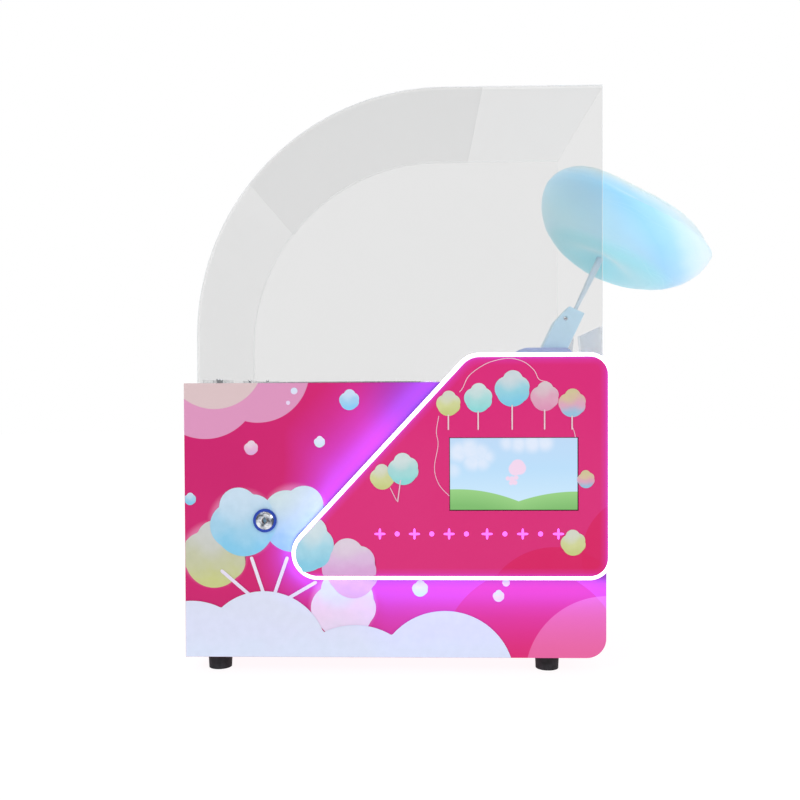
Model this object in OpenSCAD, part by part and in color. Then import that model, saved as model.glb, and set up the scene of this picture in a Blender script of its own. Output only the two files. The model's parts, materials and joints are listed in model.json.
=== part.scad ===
// Counter-top cotton candy machine with a robot arm that winds the floss on a stick.
// Millimetres, +Z up, +Y towards the back. The origin is on the surface that the
// machine stands on, in the middle of the four feet. Most parts are drawn about the
// middle of the cabinet's width, which body_frame() puts in its place.

/* [Cabinet] */
// Width of the cabinet
body_w = 520; // [510:5:540]
// Depth from the door's front to the rear panel
body_d = 400; // [396:2:420]
// Height of the cabinet above its feet
body_h = 340; // [335:1:345]
// Thickness of the folded steel sheet
sheet_t = 1.5; // [1.2:0.1:1.6]
// Radius of the lower right corner
corner_r = 24; // [16:1:26]

/* [Feet] */
// Height of the rubber feet
foot_h = 20; // [18:1:24]
// Diameter of the rubber feet
foot_d = 30.5; // [26:0.5:32]
// Distance between the feet from left to right
foot_gap_x = 414; // [410:1:416]
// Distance between the feet from front to back
foot_gap_y = 344; // [330:1:350]
// Radius of the recess under each foot
recess_r = 6; // [5.5:0.1:7]

/* [Hood] */
// Height of the clear hood above the deck
hood_h = 365; // [355:1:375]
// Outer radius of the hood's arch
hood_r = 308; // [300:1:310]
// Thickness of the acrylic sheet
hood_t = 3; // [2.5:0.5:4]
// Height of the low guards at the open end
sill_h = 68; // [60:1:70]

/* [Light panel and display] */
// Height of the pink front plate
plate_h = 266; // [258:1:268]
// Width of the glowing rim
rim_w = 5; // [4.5:0.1:7]
// Slope of the panel's left edge
panel_slope = 47; // [44:1:50]
// Width of the display's picture
screen_w = 154; // [150:0.5:156]
// Height of the display's picture
screen_h = 87; // [85:0.5:89]

/* [Bowl and spinner head] */
// Inner radius of the bowl at its rim
bowl_r = 174; // [168:1:174]
// Depth of the bowl
bowl_depth = 112; // [105:1:116]
// Radius of the spinner head
head_r = 60; // [55:1:62]

/* [Arm, stick and floss] */
// Angle of the stick above the horizontal
lean = 64; // [60:1:68]
// Radius of the stick in its chuck
stick_r = 2.75; // [2.5:0.05:3]
// Radius of the stick inside the floss
stick_top_r = 5; // [3:0.25:5.5]
// Radius of the finished floss
floss_r = 131; // [100:1:132]
// Thickness of the finished floss
floss_h = 147; // [110:1:147]

/* [Hidden] */
$fn = 64;

recess_h = 8;                           // depth of the recess under each foot

// Cabinet faces, about the middle of its width
body_x = 16;                            // middle of the cabinet, right of the feet's middle
half_w = body_w / 2;
door_front = -body_d / 2;
door_back = door_front + sheet_t;
case_front = door_back + 0.5;           // front edges of the case behind the door
case_back = body_d / 2;
back_in = case_back - sheet_t;
bottom = foot_h;
floor_top = bottom + sheet_t;
deck = bottom + body_h;
deck_under = deck - sheet_t;
wall_in = half_w - sheet_t;
rear_screw_xs = [-230, 0, 215];
rear_screw_zs = [36, 340];
side_screw_zs = [82, 298];
feet_xy = [for (sx = [-1, 1], sy = [-1, 1]) [sx * foot_gap_x / 2, sy * foot_gap_y / 2]];

// Door: hinge line on the right, cam lock at mid-height on the left
hinge_x = half_w + 2.5;
hinge_y = door_front;
hinge_h = 50;
hinge_zs = [150, 290];
knuckle_r = 3;
pin_r = 1.5;
leaf_screw_zs = [12, 38];
door_lip = 15;                          // depth of the door's stiffening lip
lip_box = [[-236, 38], [242, 340]];     // outline of the lip in X and Z
lock_x = -160;
lock_z = bottom + body_h / 2;
cam_y = case_front + 6;

// Light panel: a plate with four rounded corners in front of an opal slab
plate_right = 258.8;
plate_bottom = 124.4;
plate_top = plate_bottom + plate_h;
slope_x = -155.3;                       // where the sloping edge meets the bottom line
corner_rs = [22, 22, 27, 27];
opal_back = door_front - 6;
opal_front = opal_back - 8;
plate_front = opal_front - 3;
screen_x = 145.5;
screen_z = 248.5;
spacer_xz = [[-80, 142], [60, 142], [236, 142], [236, 372], [110, 372], [15, 260]];

// Hood
hood_left = -246;
hood_right = 258;
hood_y = 188;
hood_top = deck + hood_h;
arch_x = hood_left + hood_r;
arch_z = hood_top - hood_r;
seam_a = 141.6;                         // angle of the joint in the arch
seam_x = 110.7;                         // joint in the flat top
tab_w = 36;
tab_xy = [[-222, -1], [182, -1], [-222, 1], [182, 1]];

// Bowl, head and its drive, on one upright axis
bowl_x = -20;
bowl_t = 1.2;
rim_z = deck + 0.3;
floor_z = deck - bowl_depth + 2;
shaft_r = 5;
fit_gap = 0.03;                         // between the shaft and what is fixed to it
motor_r = 36;
motor_z = [150, 222];
head_z = 276;
band_h = 44;
pipe_z = 344;

// Sugar hopper, auger and gears behind the door
hop = [[-215, -180], [-115, -70]];
hop_top = 232;
hop_wall = 2.5;
auger_y = -125;
auger_z = 126;
auger_r = 13;
riser_x = -238;
lid_z = hop_top + 1;
feed_len = norm([riser_x - bowl_x, auger_y]);

// Gears: module 1.5 with short teeth
gear_m = 1.5;
pinion_n = 12;
auger_n = 36;
sector_n = 44;
gear_play = 3.5;                        // degrees taken off each flank, shared by the teeth
auger_gap = gear_m * (pinion_n + auger_n) / 2;
sector_gap = gear_m * (pinion_n + sector_n) / 2;

// Arm: pivot on the stick's own line
pivot_x = 214;
pivot_z = deck + 18;
arm_len = 95;
arm_y = 15;
arm_wall = 2.5;
sector_y = [17, 23];
// Middle of the arm's screw, 77 mm up the arm and 8.5 mm to its left
arm_screw_p = [pivot_x, pivot_z] + 77 * [cos(lean), sin(lean)] + 8.5 * [-sin(lean), cos(lean)];
cheek_near = [-24, -21];
cheek_far = [30, 33];
cheek_top = 409;
chuck_r = 6.5;
floss_at = 223.5;                       // middle of the floss from the pivot
floss_off = 11;                         // its lean to one side of the stick
floss_waist = 15;                       // height of its widest ring above its middle

// Rear fittings
fan_x = 170;
fan_z = 110;
fan_w = 80;
inlet_x = -190;
inlet_z = 62;
switch_z = 104;
rocker_tilt = 8;

pink = "#dd3482";
pale = "#f4f2f6";
steel = "#c8cbd0";
dark = "#26262a";
blue = "#a9cfee";

// ---- helpers -------------------------------------------------------------------

module body_frame() translate([body_x, 0, 0]) children();
// A flat shape drawn in X and Z, from y0 to y1
module xz(y0, y1) translate([0, y1, 0]) rotate([90, 0, 0]) linear_extrude(y1 - y0) children();
// A flat shape drawn in Y and Z, from x0 to x1
module yz(x0, x1) translate([x0, 0, 0]) rotate([90, 0, 90]) linear_extrude(x1 - x0) children();
module block(low, high) translate(low) cube(high - low);
module rod_x(y, z, r, x0, x1) translate([x0, y, z]) rotate([0, 90, 0]) cylinder(r = r, h = x1 - x0);
module rod_y(x, z, r, y0, y1) translate([x, y1, z]) rotate([90, 0, 0]) cylinder(r = r, h = y1 - y0);
module rod_z(x, y, r, z0, z1) translate([x, y, z0]) cylinder(r = r, h = z1 - z0);
// The stick's own axis, from the arm's pivot upwards
module stick_axis() translate([pivot_x, 0, pivot_z]) rotate([0, 90 - lean, 0]) children();
module arm_plane() translate([pivot_x, pivot_z]) rotate(lean) children();

// Dome head with a hexagon socket, and shank, of a screw that goes down into z = 0
module dome_screw(r, len) {
    difference() {
        intersection() {
            translate([0, 0, -1.2 * r]) sphere(r = 2 * r);
            cylinder(r = 1.75 * r, h = 2 * r);
        }
        translate([0, 0, 0.3 * r]) cylinder(r = 0.65 * r, h = 2 * r, $fn = 6);
    }
    translate([0, 0, -len]) cylinder(r = r, h = len);
}

// Outline of the cabinet's front and back, with its one rounded corner
module case_outline() {
    polygon([[-half_w, bottom], [half_w - corner_r, bottom], [half_w, bottom + corner_r],
             [half_w, deck], [-half_w, deck]]);
    translate([half_w - corner_r, bottom + corner_r]) circle(r = corner_r);
}

// Corner circles of the light panel, anticlockwise from the lower right
function slope_at(z) = slope_x + (z - plate_bottom) / tan(panel_slope);
panel_centres = let (half = panel_slope / 2, r = corner_rs) [
    [plate_right - r[0], plate_bottom + r[0]],
    [plate_right - r[1], plate_top - r[1]],
    [slope_at(plate_top) + r[2] * tan(half), plate_top - r[2]],
    [slope_x + r[3] / tan(half), plate_bottom + r[3]]
];
// Directions that the panel's four edges face: bottom, right, top, slope
edge_dirs = [-90, 0, 90, 90 + panel_slope];
module panel_outline(grow) {
    polygon([for (i = [0:3], j = [0, 1])
        panel_centres[i] + (corner_rs[i] + grow) * [cos(edge_dirs[(i + j) % 4]), sin(edge_dirs[(i + j) % 4])]]);
    for (i = [0:3]) translate(panel_centres[i]) circle(r = corner_rs[i] + grow);
}
module screen_window(extra) translate([screen_x, screen_z]) square([screen_w + extra, screen_h + extra], center = true);

// Side view of the hood
module hood_outline() {
    translate([arch_x, deck]) square([hood_right - arch_x, hood_h]);
    translate([hood_left, deck]) square([hood_r + 1, arch_z - deck + 0.001]);
    intersection() {
        translate([arch_x, arch_z]) circle(r = hood_r, $fn = 128);
        translate([hood_left, arch_z]) square([hood_r + 1, hood_r]);
    }
}
// Side view of the arch's sheet from angle a0 to a1
module arch_part(a0, a1) translate([arch_x, arch_z]) intersection() {
    difference() {
        circle(r = hood_r, $fn = 128);
        circle(r = hood_r - hood_t, $fn = 128);
    }
    polygon(concat([[0, 0]], [for (a = [a0, (a0 + a1) / 2, a1]) 1.2 * hood_r * [cos(a), sin(a)]]));
}
module between_sheets() xz(hood_t - hood_y, hood_y - hood_t) children();

// Involute gear drawn flat, with one tooth pointing along +X
function roll(rb, r) = sqrt(max(0, r * r / rb / rb - 1)) * 180 / PI;
function inv_a(rb, r) = roll(rb, r) - atan(roll(rb, r) * PI / 180);
function flank_a(n, r) = let (rp = gear_m * n / 2, rb = rp * cos(20))
    (90 - gear_play) / n + inv_a(rb, rp) - inv_a(rb, r);
module gear(n) {
    rp = gear_m * n / 2;
    rb = rp * cos(20);
    root = rp - 1.05 * gear_m;
    tip = rp + 0.75 * gear_m;
    low = max(rb, root);
    rs = [for (k = [0:4]) low + (tip - low) * k / 4];
    polygon([for (i = [0:n - 1]) let (mid = 360 * i / n) each concat(
        [root * [cos(mid - flank_a(n, low)), sin(mid - flank_a(n, low))]],
        [for (r = rs) r * [cos(mid - flank_a(n, r)), sin(mid - flank_a(n, r))]],
        [for (k = [4:-1:0]) rs[k] * [cos(mid + flank_a(n, rs[k])), sin(mid + flank_a(n, rs[k]))]],
        [root * [cos(mid + flank_a(n, low)), sin(mid + flank_a(n, low))]])]);
}

// ---- cabinet -------------------------------------------------------------------

// Floor, rounded corner and right wall, folded from one sheet
module base_pan() color(pink) body_frame() difference() {
    union() {
        xz(case_front, back_in) {
            translate([-wall_in, bottom]) square([wall_in + half_w - corner_r, sheet_t]);
            translate([wall_in, bottom + corner_r]) square([sheet_t, deck_under - bottom - corner_r]);
            translate([half_w - corner_r, bottom + corner_r]) intersection() {
                difference() {
                    circle(r = corner_r);
                    circle(r = corner_r - sheet_t);
                }
                translate([0, -corner_r]) square(corner_r);
            }
        }
        block([-250, case_front, floor_top], [232, case_front + sheet_t, floor_top + 11.5]);
        block([246, case_front, 50], [wall_in, case_front + sheet_t, deck - 10]);
    }
    for (p = feet_xy) rod_z(p[0] - body_x, p[1], 3.3, bottom - 1, floor_top + 1);
    for (i = [0:6]) block([-104 + 26 * i, 95, bottom - 1], [-98 + 26 * i, 175, floor_top + 1]);
    leaf_holes();
}

// Left wall with its front lip, the lock's strike and a lower lip
module left_panel() color(pink) body_frame() {
    difference() {
        union() {
            block([-half_w, case_front, bottom], [-wall_in, back_in, deck_under]);
            block([-wall_in, case_front, 34], [-240, case_front + sheet_t, deck - 14]);
        }
        for (y = [-150, 150], z = side_screw_zs) rod_x(y, z, 2.2, -half_w - 1, -wall_in + 1);
    }
    block([-wall_in, -180, floor_top], [-246, 180, floor_top + sheet_t]);
    block([-wall_in, case_front + sheet_t, lock_z - 22], [-204, case_front + 2 * sheet_t, lock_z + 22]);
}

// Rear panel with louvres and the cut-outs for the fan and the mains inlet
module rear_panel() color(pink) body_frame() difference() {
    xz(back_in, case_back) case_outline();
    rod_y(fan_x, fan_z, 38.5, back_in - 1, case_back + 1);
    for (z = [250, 266, 282, 298, 314], x = [-150, -40, 70, 180])
        block([x - 40, back_in - 1, z - 2.5], [x + 40, case_back + 1, z + 2.5]);
    block([inlet_x - 14, back_in - 1, inlet_z - 11], [inlet_x + 14, case_back + 1, inlet_z + 11]);
    block([inlet_x - 14, back_in - 1, switch_z - 10], [inlet_x + 14, case_back + 1, switch_z + 10]);
    for (x = rear_screw_xs, z = rear_screw_zs) rod_y(x, z, 2.2, back_in - 1, case_back + 1);
}

// Deck with the bowl's opening and the slot for the arm's sector
module deck_plate() color(pale) body_frame() difference() {
    union() {
        block([-half_w, case_front, deck_under], [half_w, back_in, deck]);
        block([-238, case_front, deck - 14], [240, case_front + sheet_t, deck_under]);
    }
    rod_z(bowl_x, 0, bowl_r + 3, deck_under - 1, deck + 1);
    block([pivot_x - 32, sector_y[0] - 1.5, deck_under - 1], [pivot_x + 32, sector_y[1] + 1.5, deck + 1]);
    for (p = tab_xy) rod_z(p[0], p[1] * (hood_y - hood_t - 7), 2.2, deck_under - 1, deck + 1);
    for (y = [-100, 100]) rod_z(hood_left + hood_t + 7, y, 2.2, deck_under - 1, deck + 1);
}

// Holes through the right wall and the hinge leaves on it
module leaf_holes() for (z0 = hinge_zs, dz = leaf_screw_zs)
    rod_x(hinge_y + 18, z0 + dz, 2, wall_in - 1, half_w + sheet_t + 1);

// Cap screw and nut of one foot
module foot_screw() {
    difference() {
        translate([0, 0, 8.5]) cylinder(r = 5.2, h = 3.5);
        translate([0, 0, 8]) cylinder(r = 2.2, h = 2.5, $fn = 6);
    }
    translate([0, 0, 12]) cylinder(r = 3, h = 19);
    translate([0, 0, floor_top]) difference() {
        cylinder(r = 5.8, h = 5, $fn = 6);
        cylinder(r = 3.01, h = 11, center = true);
    }
}

// Screws of the feet, the left wall, the rear panel, the hinges and the hood's tabs
module case_screws() color(steel) body_frame() {
    for (p = feet_xy) translate([p[0] - body_x, p[1], 0]) foot_screw();
    for (y = [-150, 150], z = side_screw_zs)
        translate([-half_w, y, z]) rotate([0, -90, 0]) dome_screw(2, 6);
    for (x = rear_screw_xs, z = rear_screw_zs)
        translate([x, case_back, z]) rotate([-90, 0, 0]) dome_screw(2, 6);
    for (z0 = hinge_zs, dz = leaf_screw_zs)
        translate([half_w + sheet_t, hinge_y + 18, z0 + dz]) rotate([0, 90, 0]) dome_screw(1.8, 6);
    for (p = tab_xy) translate([p[0], p[1] * (hood_y - hood_t - 7), deck + 4]) dome_screw(2, 12);
    for (y = [-100, 100]) translate([hood_left + hood_t + 7, y, deck + 4]) dome_screw(2, 12);
}

// Rubber feet, each with an open recess below its screw's head
module feet() color(dark) for (p = feet_xy) translate([p[0], p[1], 0]) difference() {
    cylinder(r1 = foot_d / 2 - 1, r2 = foot_d / 2, h = foot_h);
    translate([0, 0, -1]) cylinder(r = recess_r, h = 1 + recess_h);
    cylinder(r = 5.3, h = recess_h + 4);
    cylinder(r = 3.2, h = foot_h + 1);
}

// ---- door ----------------------------------------------------------------------

// Front door with a stiffening lip, open at the strike
module door_skin() color(pink) body_frame() difference() {
    union() {
        xz(door_front, door_back) case_outline();
        difference() {
            block([lip_box[0][0], door_back, lip_box[0][1]], [lip_box[1][0], door_back + door_lip, lip_box[1][1]]);
            block([lip_box[0][0] + sheet_t, door_back - 1, lip_box[0][1] + sheet_t],
                  [lip_box[1][0] - sheet_t, door_back + door_lip + 1, lip_box[1][1] - sheet_t]);
            block([lip_box[0][0] - 1, door_back, lock_z - 28], [lip_box[0][0] + 3, 0, lock_z + 28]);
        }
    }
    for (z0 = hinge_zs)
        block([half_w - sheet_t, door_front - 1, z0 - 0.5], [half_w + 1, door_back + 1, z0 + hinge_h + 0.5]);
    rod_y(lock_x, lock_z, 9.5, door_front - 1, door_back + 1);
    for (p = spacer_xz) rod_y(p[0], p[1], 2.2, door_front - 1, door_back + 1);
    block([screen_x - 40, door_front - 1, screen_z - 20], [screen_x + 40, door_back + 1, screen_z + 20]);
}

// Hinge leaves outside the right wall, with the outer knuckles
module body_hinge_leaves() color(steel) body_frame() for (z0 = hinge_zs) difference() {
    union() {
        block([half_w, hinge_y + 3.5, z0], [half_w + sheet_t, hinge_y + 30, z0 + hinge_h]);
        for (z = [z0, z0 + 36]) {
            block([half_w, hinge_y + 1, z], [half_w + sheet_t, hinge_y + 3.5, z + 14]);
            rod_z(hinge_x, hinge_y, knuckle_r, z, z + 14);
        }
    }
    rod_z(hinge_x, hinge_y, pin_r + 0.03, z0 - 1, z0 + hinge_h + 1);
    leaf_holes();
}

// Hinge leaves on the door's front, with the middle knuckles
module door_hinge_leaves() color(steel) body_frame() for (z0 = hinge_zs) difference() {
    union() {
        block([half_w - 22, hinge_y - sheet_t, z0], [half_w - 4, hinge_y, z0 + hinge_h]);
        block([half_w - 4, hinge_y - sheet_t, z0 + 14.5], [hinge_x, hinge_y, z0 + 35.5]);
        rod_z(hinge_x, hinge_y, knuckle_r, z0 + 14.5, z0 + 35.5);
    }
    rod_z(hinge_x, hinge_y, pin_r + 0.06, z0 - 1, z0 + hinge_h + 1);
}

module hinge_pins() color(steel) body_frame() for (z0 = hinge_zs) {
    rod_z(hinge_x, hinge_y, pin_r, z0, z0 + hinge_h);
    rod_z(hinge_x, hinge_y, 2.4, z0 + hinge_h, z0 + hinge_h + 1.5);
}

// Lock barrel with its bright collar, held by a hexagon nut behind the door
module lock_body() color(steel) body_frame() difference() {
    union() {
        rod_y(lock_x, lock_z, 11, door_front - 3, door_front);
        translate([lock_x, door_front - 3, lock_z]) rotate([90, 0, 0]) cylinder(r1 = 11, r2 = 8.5, h = 1.5);
        rod_y(lock_x, lock_z, 9.3, door_front, cam_y - 0.3);
        translate([lock_x, cam_y - 1, lock_z]) rotate([90, 0, 0]) cylinder(r = 13, h = 4.5, $fn = 6);
    }
    rod_y(lock_x, lock_z, 6.05, door_front - 6, cam_y + 1);
}

module lock_ring() color("#2438b8") body_frame() difference() {
    rod_y(lock_x, lock_z, 14.5, door_front - 2.5, door_front);
    rod_y(lock_x, lock_z, 11.2, door_front - 3, door_front + 1);
}

module lock_plug() color(steel) body_frame() difference() {
    union() {
        rod_y(lock_x, lock_z, 6, door_front - 4, cam_y);
        block([lock_x - 3.5, cam_y, lock_z - 3.5], [lock_x + 3.5, cam_y + 5, lock_z + 3.5]);
    }
    block([lock_x - 1, door_front - 5, lock_z - 4.5], [lock_x + 1, door_front + 4, lock_z + 4.5]);
    rod_y(lock_x, lock_z, 2.6, door_front - 5, door_front + 4);
}

// Cam that hangs down when the lock is open and points left when it is locked
module lock_cam() color(steel) body_frame() difference() {
    xz(cam_y, cam_y + 3) {
        translate([lock_x, lock_z]) circle(r = 10);
        translate([lock_x - 8, lock_z - 52]) square([16, 52]);
    }
    block([lock_x - 3.5, cam_y - 1, lock_z - 3.5], [lock_x + 3.5, cam_y + 4, lock_z + 3.5]);
}

// ---- light panel and display ---------------------------------------------------

// Opal slab with a groove for the light strip and a window for the display
module opal_diffuser() color("#ffffff") body_frame() difference() {
    xz(opal_front, opal_back) panel_outline(rim_w);
    xz(opal_back - 5, opal_back + 1) difference() {
        panel_outline(rim_w - 3);
        panel_outline(-6);
    }
    xz(opal_front - 1, opal_back + 1) screen_window(14);
    for (p = spacer_xz) rod_y(p[0], p[1], 2.05, opal_front + 3, opal_back + 1);
}

module light_plate() color(pink) body_frame() difference() {
    xz(plate_front, opal_front) panel_outline(0);
    xz(plate_front - 1, opal_front + 1) screen_window(2);
}

// Light strip that runs round the groove
module led_strip() color("#f3e9ff") body_frame() xz(opal_back - 2.5, opal_back - 0.2) difference() {
    panel_outline(rim_w - 4);
    panel_outline(-5);
}

// Spacers that hold the panel off the door, each with its screw
module panel_spacers() color(steel) body_frame() for (p = spacer_xz) {
    difference() {
        rod_y(p[0], p[1], 6, opal_back, door_front);
        rod_y(p[0], p[1], 2.1, opal_back - 1, door_front + 1);
    }
    rod_y(p[0], p[1], 2, opal_back - 4, door_back);
    rod_y(p[0], p[1], 4, door_back, door_back + 2);
}

// Display case with its glass in a shallow step
module display_module() color(dark) body_frame() difference() {
    xz(opal_front, opal_back) screen_window(13);
    xz(opal_front - 1, opal_front + 1) screen_window(0.2);
}

module display_glass() color("#8fc4f0") body_frame() xz(opal_front, opal_front + 0.9) screen_window(0);

// ---- hood ----------------------------------------------------------------------

module hood_near_sheet() color("#dfe6ea", 0.3) body_frame() xz(-hood_y, hood_t - hood_y) hood_outline();
module hood_far_sheet() color("#dfe6ea", 0.3) body_frame() xz(hood_y - hood_t, hood_y) hood_outline();

module hood_side_sheet() color("#dfe6ea", 0.3) body_frame() between_sheets() {
    translate([hood_left, deck]) square([hood_t, arch_z - deck]);
    arch_part(seam_a, 180);
}

module hood_arch_sheet() color("#dfe6ea", 0.3) body_frame() between_sheets() {
    arch_part(90, seam_a);
    translate([arch_x, hood_top - hood_t]) square([seam_x - arch_x, hood_t]);
}

module hood_top_sheet() color("#dfe6ea", 0.3) body_frame() between_sheets()
    translate([seam_x, hood_top - hood_t]) square([hood_right - seam_x, hood_t]);

// Low guards on both sides of the arm at the open end
module hood_sill() color("#dfe6ea", 0.3) body_frame() for (s = [-1, 1]) {
    yz(hood_right - hood_t, hood_right) polygon([
        [s * (hood_y - hood_t), deck], [s * (hood_y - hood_t), deck + sill_h],
        [s * 24, deck + sill_h - 4], [s * 62, deck]]);
}

// Tabs that carry the hood's screws
module hood_tabs() color("#dfe6ea", 0.3) body_frame() {
    for (p = tab_xy) difference() {
        translate([p[0] - tab_w / 2, p[1] * (hood_y - hood_t - 7) - 7, deck]) cube([tab_w, 14, 4]);
        rod_z(p[0], p[1] * (hood_y - hood_t - 7), 2.2, deck - 1, deck + 5);
    }
    for (y = [-100, 100]) difference() {
        translate([hood_left + hood_t, y - tab_w / 2, deck]) cube([14, tab_w, 4]);
        rod_z(hood_left + hood_t + 7, y, 2.2, deck - 1, deck + 5);
    }
}

// ---- bowl, head and drive ------------------------------------------------------

// Spun bowl with a flat rim, a rounded foot and a collar round the shaft
module bowl() color(steel) body_frame() difference() {
    translate([bowl_x, 0, 0]) rotate_extrude($fn = 128) polygon([
        [bowl_r + 8, rim_z + bowl_t], [bowl_r, rim_z + bowl_t], [bowl_r - 4, floor_z + 26],
        [bowl_r - 8, floor_z + 12], [bowl_r - 18, floor_z + 3], [36, floor_z], [34, floor_z + 2],
        [34, floor_z + 18], [34 - bowl_t, floor_z + 18], [34 - bowl_t, floor_z + 1.4],
        [35.4, floor_z - bowl_t], [bowl_r - 17.6, floor_z + 3 - bowl_t], [bowl_r - 7, floor_z + 11.2],
        [bowl_r - 4 + bowl_t, floor_z + 25.8], [bowl_r + bowl_t, rim_z], [bowl_r + 8, rim_z]]);
    feed_line() cylinder(r = 5.6, h = 110);
}

// Level line from the sugar riser to the middle of the head
module feed_line() translate([riser_x, auger_y, pipe_z])
    rotate([0, 90, atan2(-auger_y, bowl_x - riser_x)]) children();

module spinner_shaft() color(steel) body_frame() rod_z(bowl_x, 0, shaft_r, motor_z[0] + 6, head_z + 8);

// Motor with cooling slots and the brush holder on its top
module spinner_motor() color("#3b3d42") body_frame() translate([bowl_x, 0, 0]) difference() {
    union() {
        rod_z(0, 0, motor_r, motor_z[0], motor_z[1] - 8);
        rod_z(0, 0, motor_r - 8, motor_z[1] - 8, motor_z[1]);
        block([18, -8, motor_z[1]], [27, 8, motor_z[1] + 25]);
        for (z = [5, 15]) rod_x(0, motor_z[1] + z, 2.5, 14.4, 19);
    }
    rod_z(0, 0, shaft_r + 0.08, motor_z[0] + 5, motor_z[1] + 1);
    for (i = [0:11]) rotate(30 * i) block([motor_r - 3, -3, motor_z[0] + 14], [motor_r + 1, 3, motor_z[0] + 52]);
}

// Bridge that carries the motor over the floor
module motor_bracket() color(steel) body_frame() translate([bowl_x, 0, 0]) {
    block([-55, -50, motor_z[0] - 3], [55, 50, motor_z[0]]);
    for (s = [0, 1]) mirror([s, 0, 0]) {
        block([52, -50, floor_top + 3], [55, 50, motor_z[0] - 3]);
        difference() {
            block([52, -50, floor_top], [76, 50, floor_top + 3]);
            for (y = [-35, 35]) rod_z(65, y, 3, floor_top - 1, floor_top + 4);
        }
    }
}

// Two brass rings on an insulating sleeve
module slip_rings() color("#c9a24a") body_frame() translate([bowl_x, 0, 0]) difference() {
    union() {
        rod_z(0, 0, 12, motor_z[1] + 0.5, motor_z[1] + 20);
        for (z = [2, 12]) rod_z(0, 0, 14, motor_z[1] + z, motor_z[1] + z + 6);
    }
    rod_z(0, 0, shaft_r + fit_gap, motor_z[1], motor_z[1] + 21);
}

module head_base() color(steel) body_frame() translate([bowl_x, 0, 0]) difference() {
    union() {
        rod_z(0, 0, head_r - 2 - fit_gap, head_z, head_z + 4);
        rod_z(0, 0, 12, head_z - 14, head_z + 12);
    }
    rod_z(0, 0, shaft_r + fit_gap, head_z - 15, head_z + 13);
}

// Slotted band that throws the molten sugar out
module head_band() color(steel) body_frame() translate([bowl_x, 0, 0]) difference() {
    rod_z(0, 0, head_r, head_z, head_z + band_h);
    rod_z(0, 0, head_r - 2, head_z - 1, head_z + band_h + 1);
    for (i = [0:17]) rotate(20 * i) block([head_r - 4, -1.5, head_z + 8], [head_r + 2, 1.5, head_z + band_h - 8]);
}

module head_cap() color(steel) body_frame() translate([bowl_x, 0, head_z + band_h]) rotate_extrude() polygon([
    [16, 0], [head_r, 0], [head_r, 2], [head_r - 2, 3], [22, 3], [19, 8], [16, 8]]);

// Heating coil of three turns
module heating_element() color("#8a5a40") body_frame() translate([bowl_x, 0, 0]) {
    for (z = [12, 20, 28]) translate([0, 0, head_z + z]) rotate_extrude() translate([52, 0]) circle(r = 2, $fn = 24);
    for (a = [0, 120, 240]) rotate(a) block([48.5, -2, head_z + 4], [53, 2, head_z + 10.2]);
}

// ---- sugar feed ----------------------------------------------------------------

module hopper_section(wall) {
    w = hop_wall - wall;
    polygon([[hop[0][1] + wall, hop_top + wall], [hop[0][1] + wall, 170 + wall / 2], [auger_y - 14.5 - w, auger_z],
             [auger_y + 14.5 + w, auger_z], [hop[1][1] - wall, 170 + wall / 2], [hop[1][1] - wall, hop_top + wall]]);
    translate([auger_y, auger_z]) circle(r = 14.5 + w);
}

// Hopper with a trough, an outlet, two rails for the lid and its stand
module sugar_hopper() color("#e9edf2") body_frame() {
    difference() {
        union() {
            yz(hop[0][0], hop[1][0]) hopper_section(0);
            rod_x(auger_y, auger_z, 17, riser_x + 12, hop[0][0]);
        }
        yz(hop[0][0] + hop_wall, hop[1][0] - hop_wall) hopper_section(hop_wall);
        rod_x(auger_y, auger_z, 14.5, riser_x + 11, hop[0][0] + 5);
        rod_x(auger_y, auger_z, 4.06, hop[1][0] - 5, hop[1][0] + 1);
    }
    for (s = [0, 1]) translate([(hop[0][0] + hop[1][0]) / 2, 0, 0]) mirror([s, 0, 0]) translate([-50, 0, 0]) {
        block([-3, hop[0][1], hop_top - 6], [0, hop[1][1], hop_top + 7]);
        block([0, hop[0][1], hop_top + 4.5], [6, hop[1][1], hop_top + 7]);
    }
    for (x = [hop[0][0] + 3, hop[1][0] - 6]) yz(x, x + 3) difference() {
        translate([-165, floor_top]) square([80, 130]);
        hopper_section(0);
        translate([auger_y, auger_z - auger_gap]) circle(r = 12.3);
    }
}

module sugar_lid() color("#cfe3f5") body_frame() {
    block([hop[0][0] + 0.5, hop[0][1] - 1, lid_z], [hop[1][0] - 0.5, hop[1][1] + 1, lid_z + 3]);
    block([hop[0][0] + 30, hop[0][1] - 1, lid_z + 3], [hop[1][0] - 30, hop[0][1] + 3, lid_z + 9]);
}

// Auger with a two-start flight and its driven gear
module auger() color(steel) body_frame() {
    translate([0, auger_y, auger_z]) {
        yz(hop[0][0] - 8, hop[1][0] - 6) circle(r = 4);
        translate([hop[0][0] - 8, 0, 0]) rotate([90, 0, 90])
            linear_extrude(height = 100, twist = 1080, slices = 48, $fn = 4)
                square([2 * auger_r, 3], center = true);
        rod_x(0, 0, 4, hop[1][0] - 6, hop[1][0] + 3);
        yz(hop[1][0] + 3, hop[1][0] + 9) rotate(-90) gear(auger_n);
    }
}

module dosing_motor() color(dark) body_frame() translate([0, auger_y, auger_z - auger_gap]) difference() {
    rod_x(0, 0, 12, hop[1][0] - 50, hop[1][0] - 1);
    rod_x(0, 0, 2.06, hop[1][0] - 20, hop[1][0]);
}

module dosing_pinion() color("#c9a24a") body_frame() translate([0, auger_y, auger_z - auger_gap]) {
    rod_x(0, 0, 2, hop[1][0] - 18, hop[1][0] + 3);
    yz(hop[1][0] + 3, hop[1][0] + 9) rotate(180 / pinion_n) gear(pinion_n);
}

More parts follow.
